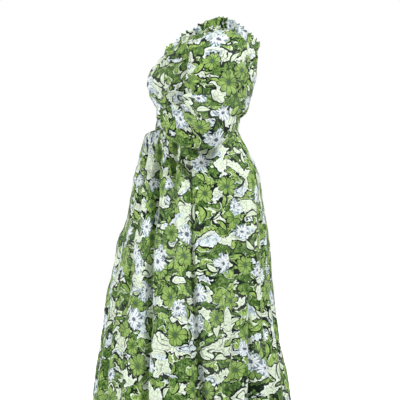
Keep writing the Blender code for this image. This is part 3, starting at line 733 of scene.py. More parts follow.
BENT_SLEEVE_CREASES = crease_list(
    (30, 2, 33, 24, 4, 3, 6.5),
    (41, 2, 42, 20, -3, 2.6, 6),
    (52, 2, 50, 27, 4, 3.2, 7),
    (62, 2, 60, 21, -3, 2.6, 6),
    (73, 2, 69, 26, 4, 3, 6.5),
    (17, 50, 46, 46, 18, 8.8, 8),
    (18, 55, 58, 59, 12, 11, 8.5),
    (19, 61, 52, 71, -6, 10.4, 8),
    (20, 67, 45, 81, -12, 7.8, 7.5),
    (16, 42, 38, 35, 14, 6.6, 7.8),
    (24, 47, 40, 50, 8, -3.4, 7),
    (30, 66, 46, 66, -6, -3.6, 7),
    (50, 28, 66, 42, 12, 5.2, 8.5),
    (56, 44, 78, 52, 14, 5.8, 9),
    (84, 36, 66, 58, -14, 6, 9),
    (86, 50, 70, 69, -10, 5.6, 8.5),
    (54, 69, 74, 78, 10, 5.2, 8),
    (30, 98, 34, 84, 3, 3, 6),
    (46, 98, 47, 80, 0, 3.4, 6.5),
    (62, 98, 60, 82, -3, 3.2, 6.5),
    (76, 98, 75, 85, 2, 2.8, 6),
    (10, 54, 2, 66, 6, 4, 8),
    (93, 58, 98, 70, -6, 3.6, 8),
    (27, 58, 38, 58, -3, -3, 8),
)
HANGING_SLEEVE_CREASES = crease_list(
    (30, 2, 33, 28, 4, 3, 6.5),
    (42, 2, 43, 23, -3, 2.6, 6),
    (53, 2, 51, 30, 4, 3.2, 7),
    (64, 2, 61, 25, -3, 2.8, 6),
    (74, 2, 70, 29, 4, 3, 6.5),
    (62, 56, 82, 50, 14, 5, 10),
    (60, 66, 84, 60, 12, 5.6, 10),
    (58, 76, 80, 72, 10, 4.4, 9.5),
    (38, 44, 54, 56, -12, 4, 10),
    (30, 58, 46, 70, -12, 4.2, 10),
    (20, 40, 34, 52, 10, 3.6, 9.5),
    (86, 38, 72, 44, -10, 4, 10),
    (30, 98, 33, 82, 3, 3.2, 6),
    (46, 98, 48, 78, 0, 3.4, 6.5),
    (63, 98, 61, 80, -3, 3.2, 6.5),
    (78, 98, 77, 84, 2, 2.8, 6),
)
SKIRT_FRONT_CREASES = crease_list(
    (84, 3, 86, 22, 6, 5, 8),
    (90, 2, 95, 16, 6, 4, 8.5),
    (70, 3, 71, 26, -4, 4.8, 8),
    (57, 3, 60, 30, 4, 4.4, 9),
    (44, 3, 42, 28, -4, 4.4, 9),
    (31, 3, 28, 30, -6, 4.8, 8.5),
    (17, 3, 14, 24, -6, 4.6, 8.5),
    (88, 40, 86, 72, 10, 3.4, 12),
    (94.5, 36, 96.8, 99, 6, 7.4, 8.5),
    (62, 44, 64, 80, 10, 3.6, 13),
    (36, 42, 33, 82, -10, 3.6, 13),
    (10, 44, 9, 84, -8, 3.6, 13),
)
SKIRT_BACK_CREASES = crease_list(
    (8, 2, 10, 15, 4, 3.6, 8.5),
    (20, 3, 23, 20, 6, 3.4, 9),
    (34, 2, 36, 24, 4, 3.2, 9),
    (48, 2, 49, 22, 0, 3.4, 9),
    (63, 2, 61, 26, -4, 3.6, 9),
    (78, 2, 76, 22, -6, 3.8, 9),
    (91, 2, 90, 18, -4, 3.8, 8.5),
    (6, 30, 7.5, 97, -8, 6.2, 9),
    (15, 40, 13, 98, -10, 7.4, 10),
    (20, 48, 22, 84, 10, 4.4, 12),
    (27, 28, 25, 62, -8, 5, 10),
    (33, 60, 30, 99, -8, 6, 10.5),
    (46, 50, 48, 86, 8, 4, 12),
    (58, 36, 57, 74, -6, 4.4, 11),
    (72, 46, 70, 84, -8, 4.2, 12),
    (86, 40, 88, 90, 8, 4.8, 11),
)


def sampled(field, across, down):
    """A field's values at shares across and down the grid."""
    row = np.clip(down, 0.0, 1.0) * (field.shape[0] - 1)
    column = np.clip(across, 0.0, 1.0) * (field.shape[1] - 1)
    return field[np.rint(row).astype(int), np.rint(column).astype(int)]


CREASE_LINE_POINTS = 15
CREASE_TAPER_SHARE, CREASE_TAPER_START, CREASE_TAPER_POWER = 0.92, 0.06, 0.8
CREASE_SWELL, CREASE_SWELL_TURN, CREASE_SWELL_STEP = 0.22, 7.0, 2.1
CREASE_START_WIDTH, CREASE_WIDENING = 0.75, 0.5
TROUGH_GAIN, TROUGH_POWER = 1.35, 1.4
# The lips beside a trough: their height in its depths, and their place and width in its widths.
LIP_GAIN, LIP_PLACE, LIP_WIDTH = 0.42, 2.1, 1.1


def creased(flat, creases):
    """How far in each point of the grid goes; flat is the cloth's own plane, in metres."""
    total = np.zeros(flat.shape[:2])
    for number, crease in enumerate(creases):
        start = sampled(flat, crease.across, crease.down)
        end = sampled(flat, crease.across_end, crease.down_end)
        along = normalised((end - start)[None])[0]
        sideways = np.array((-along[1], along[0]))
        pull = (start + end) / 2.0 + sideways * crease.bow * 2.0
        t = np.linspace(0.0, 1.0, CREASE_LINE_POINTS)[:, None]
        line = start * (1.0 - t) ** 2 + pull * 2.0 * t * (1.0 - t) + end * t * t
        best = np.full(flat.shape[:2], np.inf)
        place = np.zeros(flat.shape[:2])
        for piece in range(len(line) - 1):
            a, b = line[piece], line[piece + 1]
            way = b - a
            share = np.clip(((flat - a) @ way) / (way @ way), 0.0, 1.0)
            gap = lengths(flat - a - share[..., None] * way)
            nearer = gap < best
            best = np.where(nearer, gap, best)
            place = np.where(nearer, (piece + share) / (len(line) - 1), place)
        tapered = np.clip(place * CREASE_TAPER_SHARE + CREASE_TAPER_START, 0.0, 1.0)
        taper = np.clip(np.sin(math.pi * tapered), 0.0, 1.0) ** CREASE_TAPER_POWER
        swell = 1.0 + CREASE_SWELL * np.sin(CREASE_SWELL_TURN * place + CREASE_SWELL_STEP * number)
        width = crease.width * (CREASE_START_WIDTH + CREASE_WIDENING * place) * swell
        trough = TROUGH_GAIN * np.exp(-((best / width) ** TROUGH_POWER))
        lip = LIP_GAIN * fading(best - LIP_PLACE * width, LIP_WIDTH * width)
        total += crease.depth * taper * (trough - lip)
    return total


def plane_of(grid, origin_column):
    """The cloth's own plane: how far each point is along its row from the origin column, and down."""
    along_rows = np.cumsum(lengths(np.diff(grid, axis=1)), axis=1)
    along_rows = np.concatenate([np.zeros((len(grid), 1)), along_rows], axis=1)
    down = np.cumsum(lengths(np.diff(grid, axis=0)), axis=0)
    down = np.concatenate([np.zeros((1, grid.shape[1])), down])
    across = along_rows - along_rows[:, origin_column][:, None]
    return np.stack([across, -down], axis=-1)


def outward_of(grid, tube_from):
    """Outward across the cloth at each point of the grid."""
    along = np.gradient(grid, axis=1)
    if tube_from is not None:
        seam = (grid[tube_from:, 1] - grid[tube_from:, -2]) / 2.0
        along[tube_from:, 0] = seam
        along[tube_from:, -1] = seam
    return normalised(np.cross(np.gradient(grid, axis=0), along))


def moved_in(grid, amount, tube_from=None):
    return grid - outward_of(grid, tube_from) * amount[..., None]


def at_edges(grid, width):
    """1 on the grid's cut edges and 0 further in than width, in shares of the rows and columns."""
    rows, columns = grid.shape[:2]
    across = np.linspace(0.0, 1.0, columns)[None, :]
    down = np.linspace(0.0, 1.0, rows)[:, None]
    nearest = np.minimum(np.minimum(across, 1.0 - across), np.minimum(down, 1.0 - down))
    return 1.0 - smooth_step(nearest / width)


# ---------------------------------------------------------------- objects from grids
STITCH_LIFT = 0.0001
MIRRORED = np.array((-1.0, 1.0, 1.0))


def lifted(grid, tube_from=None):
    """The grid, raised just clear of the cloth for the lines of sewing."""
    return moved_in(grid, np.full(grid.shape[:2], -STITCH_LIFT), tube_from)


def link(obj):
    bpy.context.scene.collection.objects.link(obj)
    return obj


def sheet_object(name, grid, flat, tube_from=None):
    """An open sheet of quads through the grid, with the cloth's own plane as its UV map."""
    rows, columns = grid.shape[:2]
    number = np.arange(rows * columns).reshape(rows, columns)
    if tube_from is not None:
        number[tube_from:, -1] = number[tube_from:, 0]
    place = np.arange(rows * columns).reshape(rows, columns)
    corners = [(slice(None, -1), slice(None, -1)), (slice(1, None), slice(None, -1))]
    corners += [(slice(1, None), slice(1, None)), (slice(None, -1), slice(1, None))]
    faces = np.stack([number[corner].ravel() for corner in corners], axis=1)
    places = np.stack([place[corner].ravel() for corner in corners], axis=1)
    used, faces = np.unique(faces, return_inverse=True)
    mesh = bpy.data.meshes.new(name)
    mesh.from_pydata(grid.reshape(-1, 3)[used].tolist(), [], faces.reshape(-1, 4).tolist())
    layer = mesh.uv_layers.new(name="Cloth plane")
    layer.data.foreach_set("uv", flat.reshape(-1, 2)[places.ravel()].astype(np.float32).ravel())
    mesh.shade_smooth()
    return link(bpy.data.objects.new(name, mesh))


def baked(obj):
    """Replaces the object's mesh by what its modifiers make of it, and removes them."""
    bpy.context.view_layer.update()
    evaluated = obj.evaluated_get(bpy.context.evaluated_depsgraph_get())
    made = bpy.data.meshes.new_from_object(evaluated)
    made.name = obj.name
    obj.modifiers.clear()
    old, obj.data = obj.data, made
    bpy.data.meshes.remove(old)
    return obj


def given_thickness(obj, thickness):
    """Adds the inner face, in the material of the cloth's wrong side."""
    solidify = obj.modifiers.new("Cloth thickness", "SOLIDIFY")
    solidify.thickness = thickness
    solidify.offset = -1.0
    solidify.material_offset = 1
    solidify.use_quality_normals = True
    return baked(obj)


def cut_piece(node, grid, flat, roll_place, tube_from=None, turn_degrees=0.0):
    """A node's cloth as a thin sheet, in the print from its own place on the roll."""
    obj = sheet_object(f"{node}_cloth", grid, flat, tube_from)
    dress_in(obj, node.replace("_", " ").capitalize(), roll_place, turn_degrees)
    return obj


def declare(obj, node):
    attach(obj, "root")
    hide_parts(node)


# ---------------------------------------------------------------- node trees
NODE_GAP, NODES_IN_COLUMN = 190.0, 8
MIX_SHARE, MIX_LOW, MIX_HIGH, MIX_RESULT = 0, 6, 7, 2  # the Mix node's sockets for colours


class Board:
    """Adds nodes to a tree, in columns, and wires them up."""

    def __init__(self, tree):
        self.tree = tree
        self.count = 0

    def node(self, kind, inputs=None, **settings):
        node = self.tree.nodes.new(kind)
        column, row = divmod(self.count, NODES_IN_COLUMN)
        node.location = (column * NODE_GAP, -row * NODE_GAP)
        self.count += 1
        for setting, value in settings.items():
            setattr(node, setting, value)
        for key, value in (inputs or {}).items():
            self.feed(node.inputs[key], value)
        return node

    def feed(self, socket, value):
        if isinstance(value, Wire):
            self.tree.links.new(value.socket, socket)
        else:
            socket.default_value = value

    def out(self, node, key=0):
        return Wire(self, node.outputs[key])

    def math(self, operation, *values):
        return self.out(self.node("ShaderNodeMath", dict(enumerate(values)), operation=operation))

    def larger(self, first, second):
        return self.math("MAXIMUM", first, second)

    def vector(self, operation, *values, output=0):
        node = self.node("ShaderNodeVectorMath", operation=operation)
        for socket, value in zip(node.inputs, values):
            self.feed(socket, value)
        return self.out(node, output)

    def scaled(self, vector, amount):
        node = self.node("ShaderNodeVectorMath", {"Scale": amount}, operation="SCALE")
        self.feed(node.inputs[0], vector)
        return self.out(node)

    def mix(self, share, low, high):
        """One colour over another; share 0 shows low and 1 shows high."""
        node = self.node("ShaderNodeMix", data_type="RGBA")
        for index, value in ((MIX_SHARE, share), (MIX_LOW, low), (MIX_HIGH, high)):
            self.feed(node.inputs[index], value)
        return self.out(node, MIX_RESULT)

    def layered(self, colour, *layers):
        """A colour under further inks, each given as its share and its ink, from the lowest up."""
        for share, ink_over in layers:
            colour = self.mix(share, colour, ink_over)
        return colour

    def rising(self, value, low, high):
        """0 below low, 1 above high, and smooth in between."""
        inputs = {"Value": value, "From Min": low, "From Max": high}
        return self.out(self.node("ShaderNodeMapRange", inputs, interpolation_type="SMOOTHSTEP"))

    def falling(self, value, low, high):
        return 1.0 - self.rising(value, low, high)

    def noise(self, vector, scale, detail=1.0, roughness=0.5, output=0):
        inputs = {"Vector": vector, "Scale": scale, "Detail": detail, "Roughness": roughness}
        return self.out(self.node("ShaderNodeTexNoise", inputs, noise_dimensions="2D"), output)

    def cells(self, vector, scale, feature="F1", randomness=1.0):
        inputs = {"Vector": vector, "Scale": scale, "Randomness": randomness}
        return self.node("ShaderNodeTexVoronoi", inputs, voronoi_dimensions="2D", feature=feature)

    def split(self, vector):
        node = self.node("ShaderNodeSeparateXYZ", {0: vector})
        return [self.out(node, index) for index in range(3)]


class Wire:
    """A socket's value; arithmetic on it adds the Math node that does it."""

    def __init__(self, board, socket):
        self.board = board
        self.socket = socket

    def __add__(self, other):
        return self.board.math("ADD", self, other)

    def __sub__(self, other):
        return self.board.math("SUBTRACT", self, other)

    def __rsub__(self, other):
        return self.board.math("SUBTRACT", other, self)

    def __mul__(self, other):
        return self.board.math("MULTIPLY", self, other)

    def __truediv__(self, other):
        return self.board.math("DIVIDE", self, other)

    def __rtruediv__(self, other):
        return self.board.math("DIVIDE", other, self)

    def __pow__(self, other):
        return self.board.math("POWER", self, other)

    def __abs__(self):
        return self.board.math("ABSOLUTE", self)

    def sine(self):
        return self.board.math("SINE", self)

    def __gt__(self, other):
        return self.board.math("GREATER_THAN", self, other)

    def __lt__(self, other):
        return self.board.math("LESS_THAN", self, other)


def new_group(name, inputs, outputs, kind="ShaderNodeTree"):
    """A node tree with those sockets: (its board, a wire for each input, its output node)."""
    tree = bpy.data.node_groups.new(name, kind)
    for socket, socket_kind, default in inputs:
        made = tree.interface.new_socket(name=socket, in_out="INPUT", socket_type=socket_kind)
        if default is not None:
            made.default_value = default
    for socket, socket_kind in outputs:
        tree.interface.new_socket(name=socket, in_out="OUTPUT", socket_type=socket_kind)
    board = Board(tree)
    source = board.node("NodeGroupInput")
    wires = {socket: board.out(source, socket) for socket, _, _ in inputs}
    return board, wires, board.node("NodeGroupOutput")


def finish_geometry(board, result, made, material):
    """Ends a geometry tree in real, smooth faces of that material."""
    real = board.out(board.node("GeometryNodeRealizeInstances", {0: made}))
    smooth = board.out(board.node("GeometryNodeSetShadeSmooth", {0: real}))
    painted = board.node("GeometryNodeSetMaterial", {"Geometry": smooth, "Material": material})
    board.feed(result.inputs[0], board.out(painted))
    return board.tree


CONTOURS = (-0.125, 0.075, -0.24)
GREEN_LEVEL = 0.452
PALE_LEVEL = 0.610
ROSETTE_SHARE, DAISY_SHARE, LEAF_SHARE = 0.84, 0.50, 0.62
COLOUR, NUMBER, VECTOR = "NodeSocketColor", "NodeSocketFloat", "NodeSocketVector"
WHOLE_NUMBER, GEOMETRY, MATERIAL = "NodeSocketInt", "NodeSocketGeometry", "NodeSocketMaterial"
WAX_GROUP, WEAVE_GROUP = "Wax print", "Plain weave"


# Where a line or a flower's heart starts and stops fading, in metres from its middle.
HAIRLINE, FINE_LINE, VEIN_LINE = (0.0002, 0.0009), (0.0001, 0.0007), (0.0006, 0.0016)
DAISY_HEART, ROSETTE_HEART = (0.0052, 0.0064), (0.0030, 0.0042)
EDGE_BLUR, LINE_BLUR = 0.0003, 0.0006
HALO_PLACE, HALO_LINE = 0.0022, (0.0008, 0.0018)
# How fine each of the print's uneven fields is, in waves or cells to the metre.
WEAR_SCALE, LOBED_SCALE, SPLIT_SCALE, BOLD_SCALE, CRACKLE_SCALE = 7.0, 11.0, 13.0, 14.0, 15.0
LIGHT_SCALE, DRIFT_SCALE, ROSETTE_BOLD_SCALE, TONE_SCALE = 16.0, 17.0, 24.0, 26.0
TIDE_SCALE, MOTTLE_SCALE, BLOT_SCALE, BEND_SCALE = 42.0, 60.0, 85.0, 95.0
LEAF_SHADE_SCALE, ROSETTE_RAGGED_SCALE, PETAL_MOTTLE_SCALE = 120.0, 150.0, 170.0
DAISY_RAGGED_SCALE, FLECK_SCALE, STREAK_SCALE = 190.0, 210.0, 260.0
POLLEN_CELLS = 560.0
# How far the drift and the small bends push the print about, in metres.
DRIFT_PUSH, BEND_PUSH, CRAZE_PUSH = 0.040, 0.0060, 0.004
# Each motif's shift from the cloth's origin in metres, how far the drift pushes it, and how random it is.
LEAF_LAY = ((0.47, 0.83, 0.0), 0.014, 0.85)
ROSETTE_LAY = ((0.31, 0.17, 0.0), 0.020, 0.80)
DAISY_LAY = ((0.73, 0.59, 0.0), 0.022, 0.95)
NOISE_MIDDLE = (0.5, 0.5, 0.5)
PATCH_STRETCH = (0.72, 1.30, 1.0)
PATCH_WAVES = 0.84  # of noise in one patch
SLOPE_STEP, SLOPE_GAIN, LEAST_SLOPE = 0.001, 0.85, 0.0015
LOBE_REACH, LOBE_GAIN = 0.40, 0.95
CELLS_IN_LIGHT, CELLS_IN_LEAF = 88.0, 105.0  # to the metre, between cracks and between veins
ROSETTE_PETALS, DAISY_PETALS = 10.0, 13.0
PETALS_ADDED = 64.0  # a whole number that keeps the turned angle above 0
SHUFFLE = 437.5  # makes a sine's decimals look random
ROSETTE_VEIN_TURNS = 15.0
DAISY_HOLLOW = 0.004  # from the middle to where the petals start


def drawn_line(board, away, width):
    """1 on a line of that width along the places where away is 0, and 0 beside it."""
    return board.falling(abs(away), width * 0.5, width * 0.5 + LINE_BLUR)


def petal_places(board, angle, count, numbers, step, spin):
    """Cuts the turn round a flower into petals: (turned angle, place across its petal, its chance)."""
    turned = angle * (count / TURN) + PETALS_ADDED
    across = board.math("FRACT", turned) - 0.5
    mixed = board.math("FLOOR", turned) * step + numbers[0] * spin
    return turned, across, board.math("FRACT", mixed.sine() * SHUFFLE)


def depth_in_green(board, give, plane):
    """How deep a place lies in the green patches, in metres; some of their edges are lobed."""
    size, lobe = give["Patch size"], give["Lobe size"]
    fields = []
    for step in ((0.0, 0.0, 0.0), (SLOPE_STEP, 0.0, 0.0), (0.0, SLOPE_STEP, 0.0)):
        wide = board.vector("MULTIPLY", board.vector("ADD", plane, step), PATCH_STRETCH)
        fields.append(board.noise(wide, PATCH_WAVES / size, 1.2))
    steep = abs(fields[1] - fields[0]) + abs(fields[2] - fields[0])
    depth = (fields[0] - GREEN_LEVEL) * SLOPE_STEP / board.larger(steep * SLOPE_GAIN, LEAST_SLOPE)
    lobes = board.out(board.cells(plane, 1.0 / lobe, randomness=0.75), "Distance")
    is_lobed = board.rising(board.noise(plane, LOBED_SCALE, 0.0), 0.42, 0.50)
    return depth + (LOBE_REACH - lobes) * lobe * LOBE_GAIN * is_lobed


def light_ground(board, give, plane, bent, crazed, mottle, bold):
    """Cream and pale blue with fine cracks and slate blots: (colour, line)."""
    wavy = board.noise(board.vector("MULTIPLY", bent, (0.7, 1.25, 1.0)), LIGHT_SCALE, 0.5) - PALE_LEVEL
    crack = board.out(board.cells(crazed, CELLS_IN_LIGHT, "DISTANCE_TO_EDGE")) / CELLS_IN_LIGHT
    crack = board.falling(crack, *HAIRLINE) * board.rising(mottle, 0.34, 0.52)
    blot = board.rising(board.noise(plane, BLOT_SCALE, 2.0), 0.52, 0.66) * (wavy > 0.0)
    colour = board.layered(
        give["Cream"],
        (board.rising(wavy, 0.0, 0.004), give["Pale"]),
        (crack * 0.62, give["Deep"]),
        (blot * 0.55, give["Slate"]),
    )
    line = board.falling(abs(wavy), 0.004, 0.012) * bold
    for level in CONTOURS:
        contour = board.falling(abs(wavy - level), 0.005, 0.014)
        line = board.larger(line, contour * bold)
    return colour, line


def green_ground(board, give, plane, bent, crazed, mottle, bold, light):
    """Two greens, mottled and flecked, with fine veins and slivers of the light ground: (colour, line)."""
    fleck = board.noise(plane, FLECK_SCALE, 2.0)
    tone = board.noise(board.vector("MULTIPLY", bent, (0.75, 1.25, 1.0)), TONE_SCALE, 1.0)
    stretched = board.vector("MULTIPLY", crazed, (1.0, 0.38, 1.0))
    vein = board.out(board.cells(stretched, CELLS_IN_LEAF, "DISTANCE_TO_EDGE")) / CELLS_IN_LEAF
    is_split = board.rising(board.noise(plane, SPLIT_SCALE, 1.0), 0.44, 0.47)
    sliver = board.falling(abs(tone - 0.548), 0.018, 0.022) * is_split
    colour = board.layered(
        give["Leaf"],
        (board.rising(tone, 0.50, 0.51), give["Bright"]),
        (board.falling(tone, 0.385, 0.395) * 0.55, give["Deep"]),
        (board.rising(fleck, 0.52, 0.62) * 0.60, give["Leaf"]),
        (board.falling(fleck, 0.38, 0.46) * 0.55, give["Bright"]),
        (board.falling(mottle, 0.38, 0.46) * 0.60, give["Deep"]),
        (board.rising(mottle, 0.58, 0.66) * 0.40, give["Bright"]),
        (board.falling(vein, *HAIRLINE) * 0.80, give["Deep"]),
        (sliver, light),
    )
    line = board.falling(abs(tone - 0.505), 0.014, 0.022)
    return colour, board.larger(line, board.falling(abs(tone - 0.40), 0.008, 0.018) * bold)


def ground_inks(board, give, plane, drift):
    """Green patches on cream and pale blue, with bold uneven lines round them: (colour, line)."""
    small = board.vector("SUBTRACT", board.noise(plane, BEND_SCALE, 1.0, output=1), NOISE_MIDDLE)
    bent = board.vector("ADD", plane, board.scaled(drift, DRIFT_PUSH))
    bent = board.vector("ADD", bent, board.scaled(small, BEND_PUSH))
    crazed = board.vector("ADD", plane, board.scaled(small, CRAZE_PUSH))
    mottle = board.noise(plane, MOTTLE_SCALE, 2.0)
    bold = board.rising(board.noise(plane, BOLD_SCALE, 1.0), 0.34, 0.62)
    width = give["Line width"] * (bold * 0.80 + 0.42)
    light, light_line = light_ground(board, give, plane, bent, crazed, mottle, bold)
    leaf, leaf_line = green_ground(board, give, plane, bent, crazed, mottle, bold, light)
    depth = depth_in_green(board, give, bent)
    is_green = board.rising(depth, -EDGE_BLUR, EDGE_BLUR)
    line = board.larger(light_line * (1.0 - is_green), leaf_line * is_green)
    halo = board.falling(abs(depth + HALO_PLACE), *HALO_LINE)
    colour = board.mix(halo * 0.75, board.mix(is_green, light, leaf), give["Petal"])
    return colour, board.larger(line, drawn_line(board, depth - width * 0.4, width))


def motif(board, plane, drift, spacing, lay):
    """The nearest motif's own polar place: (distance, angle, its three random numbers)."""
    shift, wobble, randomness = lay
    placed = board.vector("ADD", board.vector("ADD", plane, shift), board.scaled(drift, wobble))
    cells = board.cells(placed, 1.0 / spacing, randomness=randomness)
    local = board.vector("SUBTRACT", placed, board.out(cells, "Position"))
    x, y, _ = board.split(local)
    numbers = board.split(board.out(cells, "Color"))
    angle = board.math("ARCTAN2", y, x) + numbers[0] * TURN
    return board.vector("LENGTH", local, output=1), angle, numbers


def leaves(board, give, plane, drift, colour, line):
    """Single pointed leaves, some cream and some green, with a bold line on one side and a rib."""
    distance, angle, numbers = motif(board, plane, drift, give["Leaf spacing"], LEAF_LAY)
    length = give["Leaf length"] * (numbers[1] * 0.5 + 0.75)
    along = distance * board.math("COSINE", angle)
    share = along / length
    side = distance * angle.sine() + share * share * length * 0.30
    half_width = (1.0 - share * share) * length * 0.36
    present = numbers[2] < LEAF_SHARE
    within = board.falling(abs(share), 0.985, 1.0) * present
    inside = board.falling(abs(side) - half_width, -EDGE_BLUR, EDGE_BLUR) * within
    is_light = board.rising(numbers[0], 0.42, 0.43)
    shade = board.rising(board.noise(plane, LEAF_SHADE_SCALE, 2.0), 0.42, 0.66)
    green = board.mix(shade * 0.7, give["Bright"], give["Leaf"])
    light = board.mix(shade * 0.18, give["Cream"], give["Bright"])
    blade = board.mix(is_light, green, light)
    ribs = abs((share * 16.0 + abs(side) * 260.0).sine())
    rib = board.larger(board.falling(abs(side), *FINE_LINE), board.falling(ribs, 0.05, 0.22) * 0.40)
    blade = board.mix(rib * 0.75, blade, give["Deep"])
    colour = board.mix(inside, colour, blade)
    width = give["Line width"] * (board.rising(side, -0.002, 0.002) * 0.62 + 0.20)
    rim = drawn_line(board, abs(side) - half_width, width) * within
    return colour, board.larger(line * (1.0 - inside), rim)


def rosettes(board, give, plane, drift, colour, line):
    """Ragged green flowers with veins from the heart, over the ground."""
    distance, angle, numbers = motif(board, plane, drift, give["Rosette spacing"], ROSETTE_LAY)
    _, sector, chance = petal_places(board, angle, ROSETTE_PETALS, numbers, 7.3, 23.0)
    lobes = 1.0 - (abs(sector) * 2.0) ** 2.6
    radius = give["Rosette radius"] * (numbers[1] * 0.34 + 0.72)
    ragged = (board.noise(plane, ROSETTE_RAGGED_SCALE, 1.0) - 0.5) * 0.24
    rim = radius * (lobes * 0.34 + 0.62 + chance * 0.16 + ragged)
    present = numbers[2] < ROSETTE_SHARE
    inside = board.falling(distance - rim, -EDGE_BLUR, EDGE_BLUR) * present
    share = distance / rim
    mottle = board.noise(plane, PETAL_MOTTLE_SCALE, 2.0)
    between = distance * (0.5 - abs(sector)) * (TURN / ROSETTE_PETALS)
    middle = distance * abs(sector) * (TURN / ROSETTE_PETALS)
    side = distance * abs((angle * ROSETTE_VEIN_TURNS).sine()) / ROSETTE_VEIN_TURNS
    veins = board.falling(between, *VEIN_LINE)
    veins = board.larger(veins, board.falling(middle, 0.0001, 0.0006) * 0.6)
    veins = board.larger(veins, board.falling(side, 0.0, 0.0005) * 0.45)
    petal = board.layered(
        give["Bright"],
        (board.rising(share, 0.55, 1.05) * 0.45, give["Leaf"]),
        (board.falling(chance, 0.20, 0.32) * 0.50, give["Leaf"]),
        (board.rising(mottle, 0.54, 0.66) * 0.50, give["Leaf"]),
        (board.falling(mottle, 0.34, 0.42) * 0.45, give["Deep"]),
        (veins * board.falling(share, 0.80, 1.0) * 0.90, give["Deep"]),
        (board.falling(share - chance * 0.20, 0.12, 0.34) * 0.40, give["Deep"]),
        (board.falling(distance, *ROSETTE_HEART) * 0.8, give["Slate"]),
    )
    bold = board.rising(board.noise(plane, ROSETTE_BOLD_SCALE, 1.0), 0.38, 0.58) * 0.60 + 0.20
    ring = drawn_line(board, distance - rim, give["Line width"] * bold) * present
    return board.mix(inside, colour, petal), board.larger(line * (1.0 - inside), ring)


def daisies(board, give, plane, drift, colour, line):
    """White flowers of thin uneven petals with slate blue between them, over everything else."""
    distance, angle, numbers = motif(board, plane, drift, give["Daisy spacing"], DAISY_LAY)
    radius = give["Daisy radius"] * (numbers[1] * 0.40 + 0.74)
    present = numbers[2] < DAISY_SHARE
    turned, sector, chance = petal_places(board, angle, DAISY_PETALS, numbers, 12.9, 31.0)
    length = radius * (chance * 0.50 + 0.52)
    ragged = (board.noise(plane, DAISY_RAGGED_SCALE, 1.0) - 0.5) * 0.0030
    sideways = abs(sector) * distance * (TURN / DAISY_PETALS) + ragged
    along = (distance - DAISY_HOLLOW) / (length - DAISY_HOLLOW)
    along = board.larger(board.math("MINIMUM", along, 1.0), 0.0)
    half_width = along ** 0.5 * (1.0 - along) ** 0.45 * radius * (chance * 0.09 + 0.15)
    within = distance < length
    inside = board.falling(sideways - half_width, -EDGE_BLUR, 0.0004) * present * within
    reach = distance / radius
    polar = board.node("ShaderNodeCombineXYZ", {0: turned * 1.9, 1: distance * 90.0 + numbers[1] * 60.0})
    stroke = board.noise(board.out(polar), 1.0, 1.0)
    blotted = board.noise(plane, TIDE_SCALE, 1.5)
    from_tide = reach - stroke * 0.7 - blotted * 1.1
    wash = board.falling(from_tide, -0.06, -0.02) * present
    edge = board.falling(abs(sideways - half_width), *FINE_LINE) * present * within
    colour = board.layered(
        colour,
        (wash * 0.92, give["Pale"]),
        (board.falling(abs(from_tide + 0.04), 0.02, 0.07) * present * 0.55, give["Slate"]),
        (board.falling(reach - stroke * 1.35, 0.0, 0.10) * present * 0.85, give["Slate"]),
        (edge * board.rising(stroke, 0.40, 0.55), give["Slate"]),
    )
    line = line * (1.0 - wash)
    streak = board.rising(board.noise(plane, STREAK_SCALE, 1.0), 0.50, 0.74)
    petal = board.mix(streak * 0.30, give["Petal"], give["Slate"])
    rib = board.falling(sideways, 0.0, 0.0006) * board.falling(along, 0.20, 0.60)
    petal = board.mix(rib * 0.6, petal, give["Slate"])
    colour = board.mix(inside * (1.0 - edge * 0.5), colour, petal)
    heart = board.falling(distance + ragged * 2.0, *DAISY_HEART) * present
    pollen = board.out(board.cells(plane, POLLEN_CELLS), "Distance")
    dots = board.mix(board.falling(pollen, 0.16, 0.36) * 0.5, give["Slate"], give["Petal"])
    dots = board.mix(0.35, dots, give["Outline"])
    colour = board.mix(heart, colour, dots)
    return colour, line * (1.0 - inside) * (1.0 - heart)


def wax_print_group(look):
    """The whole print from the cloth's own plane, in metres."""
    inks = {
        "Cream": look.cream, "Pale": look.pale, "Leaf": look.leaf, "Bright": look.bright,
        "Deep": look.deep, "Outline": look.outline, "Petal": look.petal, "Slate": look.slate,
    }
    sizes = {
        "Patch size": look.patch_size, "Lobe size": look.lobe_size, "Line width": look.line_width,
        "Rosette spacing": look.rosette_spacing, "Rosette radius": look.rosette_radius,
        "Daisy spacing": look.daisy_spacing, "Daisy radius": look.daisy_radius,
        "Leaf spacing": look.leaf_spacing, "Leaf length": look.leaf_length,
    }
    sockets = [("Plane", VECTOR, None), ("Fading", NUMBER, 0.0)]
    sockets += [(name, COLOUR, (*value, 1.0)) for name, value in inks.items()]
    sockets += [(name, NUMBER, value) for name, value in sizes.items()]
    board, give, result = new_group(WAX_GROUP, sockets, [("Colour", COLOUR), ("Dark ink", NUMBER)])
    plane = give["Plane"]
    drift = board.vector("SUBTRACT", board.noise(plane, DRIFT_SCALE, 1.5, output=1), NOISE_MIDDLE)
    colour, line = ground_inks(board, give, plane, drift)
    for motifs in (leaves, rosettes, daisies):
        colour, line = motifs(board, give, plane, drift, colour, line)
    crackle = abs(board.noise(plane, CRACKLE_SCALE, 3.0, 0.62) - 0.5)
    colour = board.layered(
        colour,
        (line, give["Outline"]),
        (board.falling(crackle, 0.0006, 0.0040) * 0.38, give["Deep"]),
        (board.rising(board.noise(plane, WEAR_SCALE, 2.0), 0.35, 0.75) * 0.05, give["Cream"]),
        (give["Fading"], give["Cream"]),
    )
    board.feed(result.inputs["Colour"], colour)
    board.feed(result.inputs["Dark ink"], line)


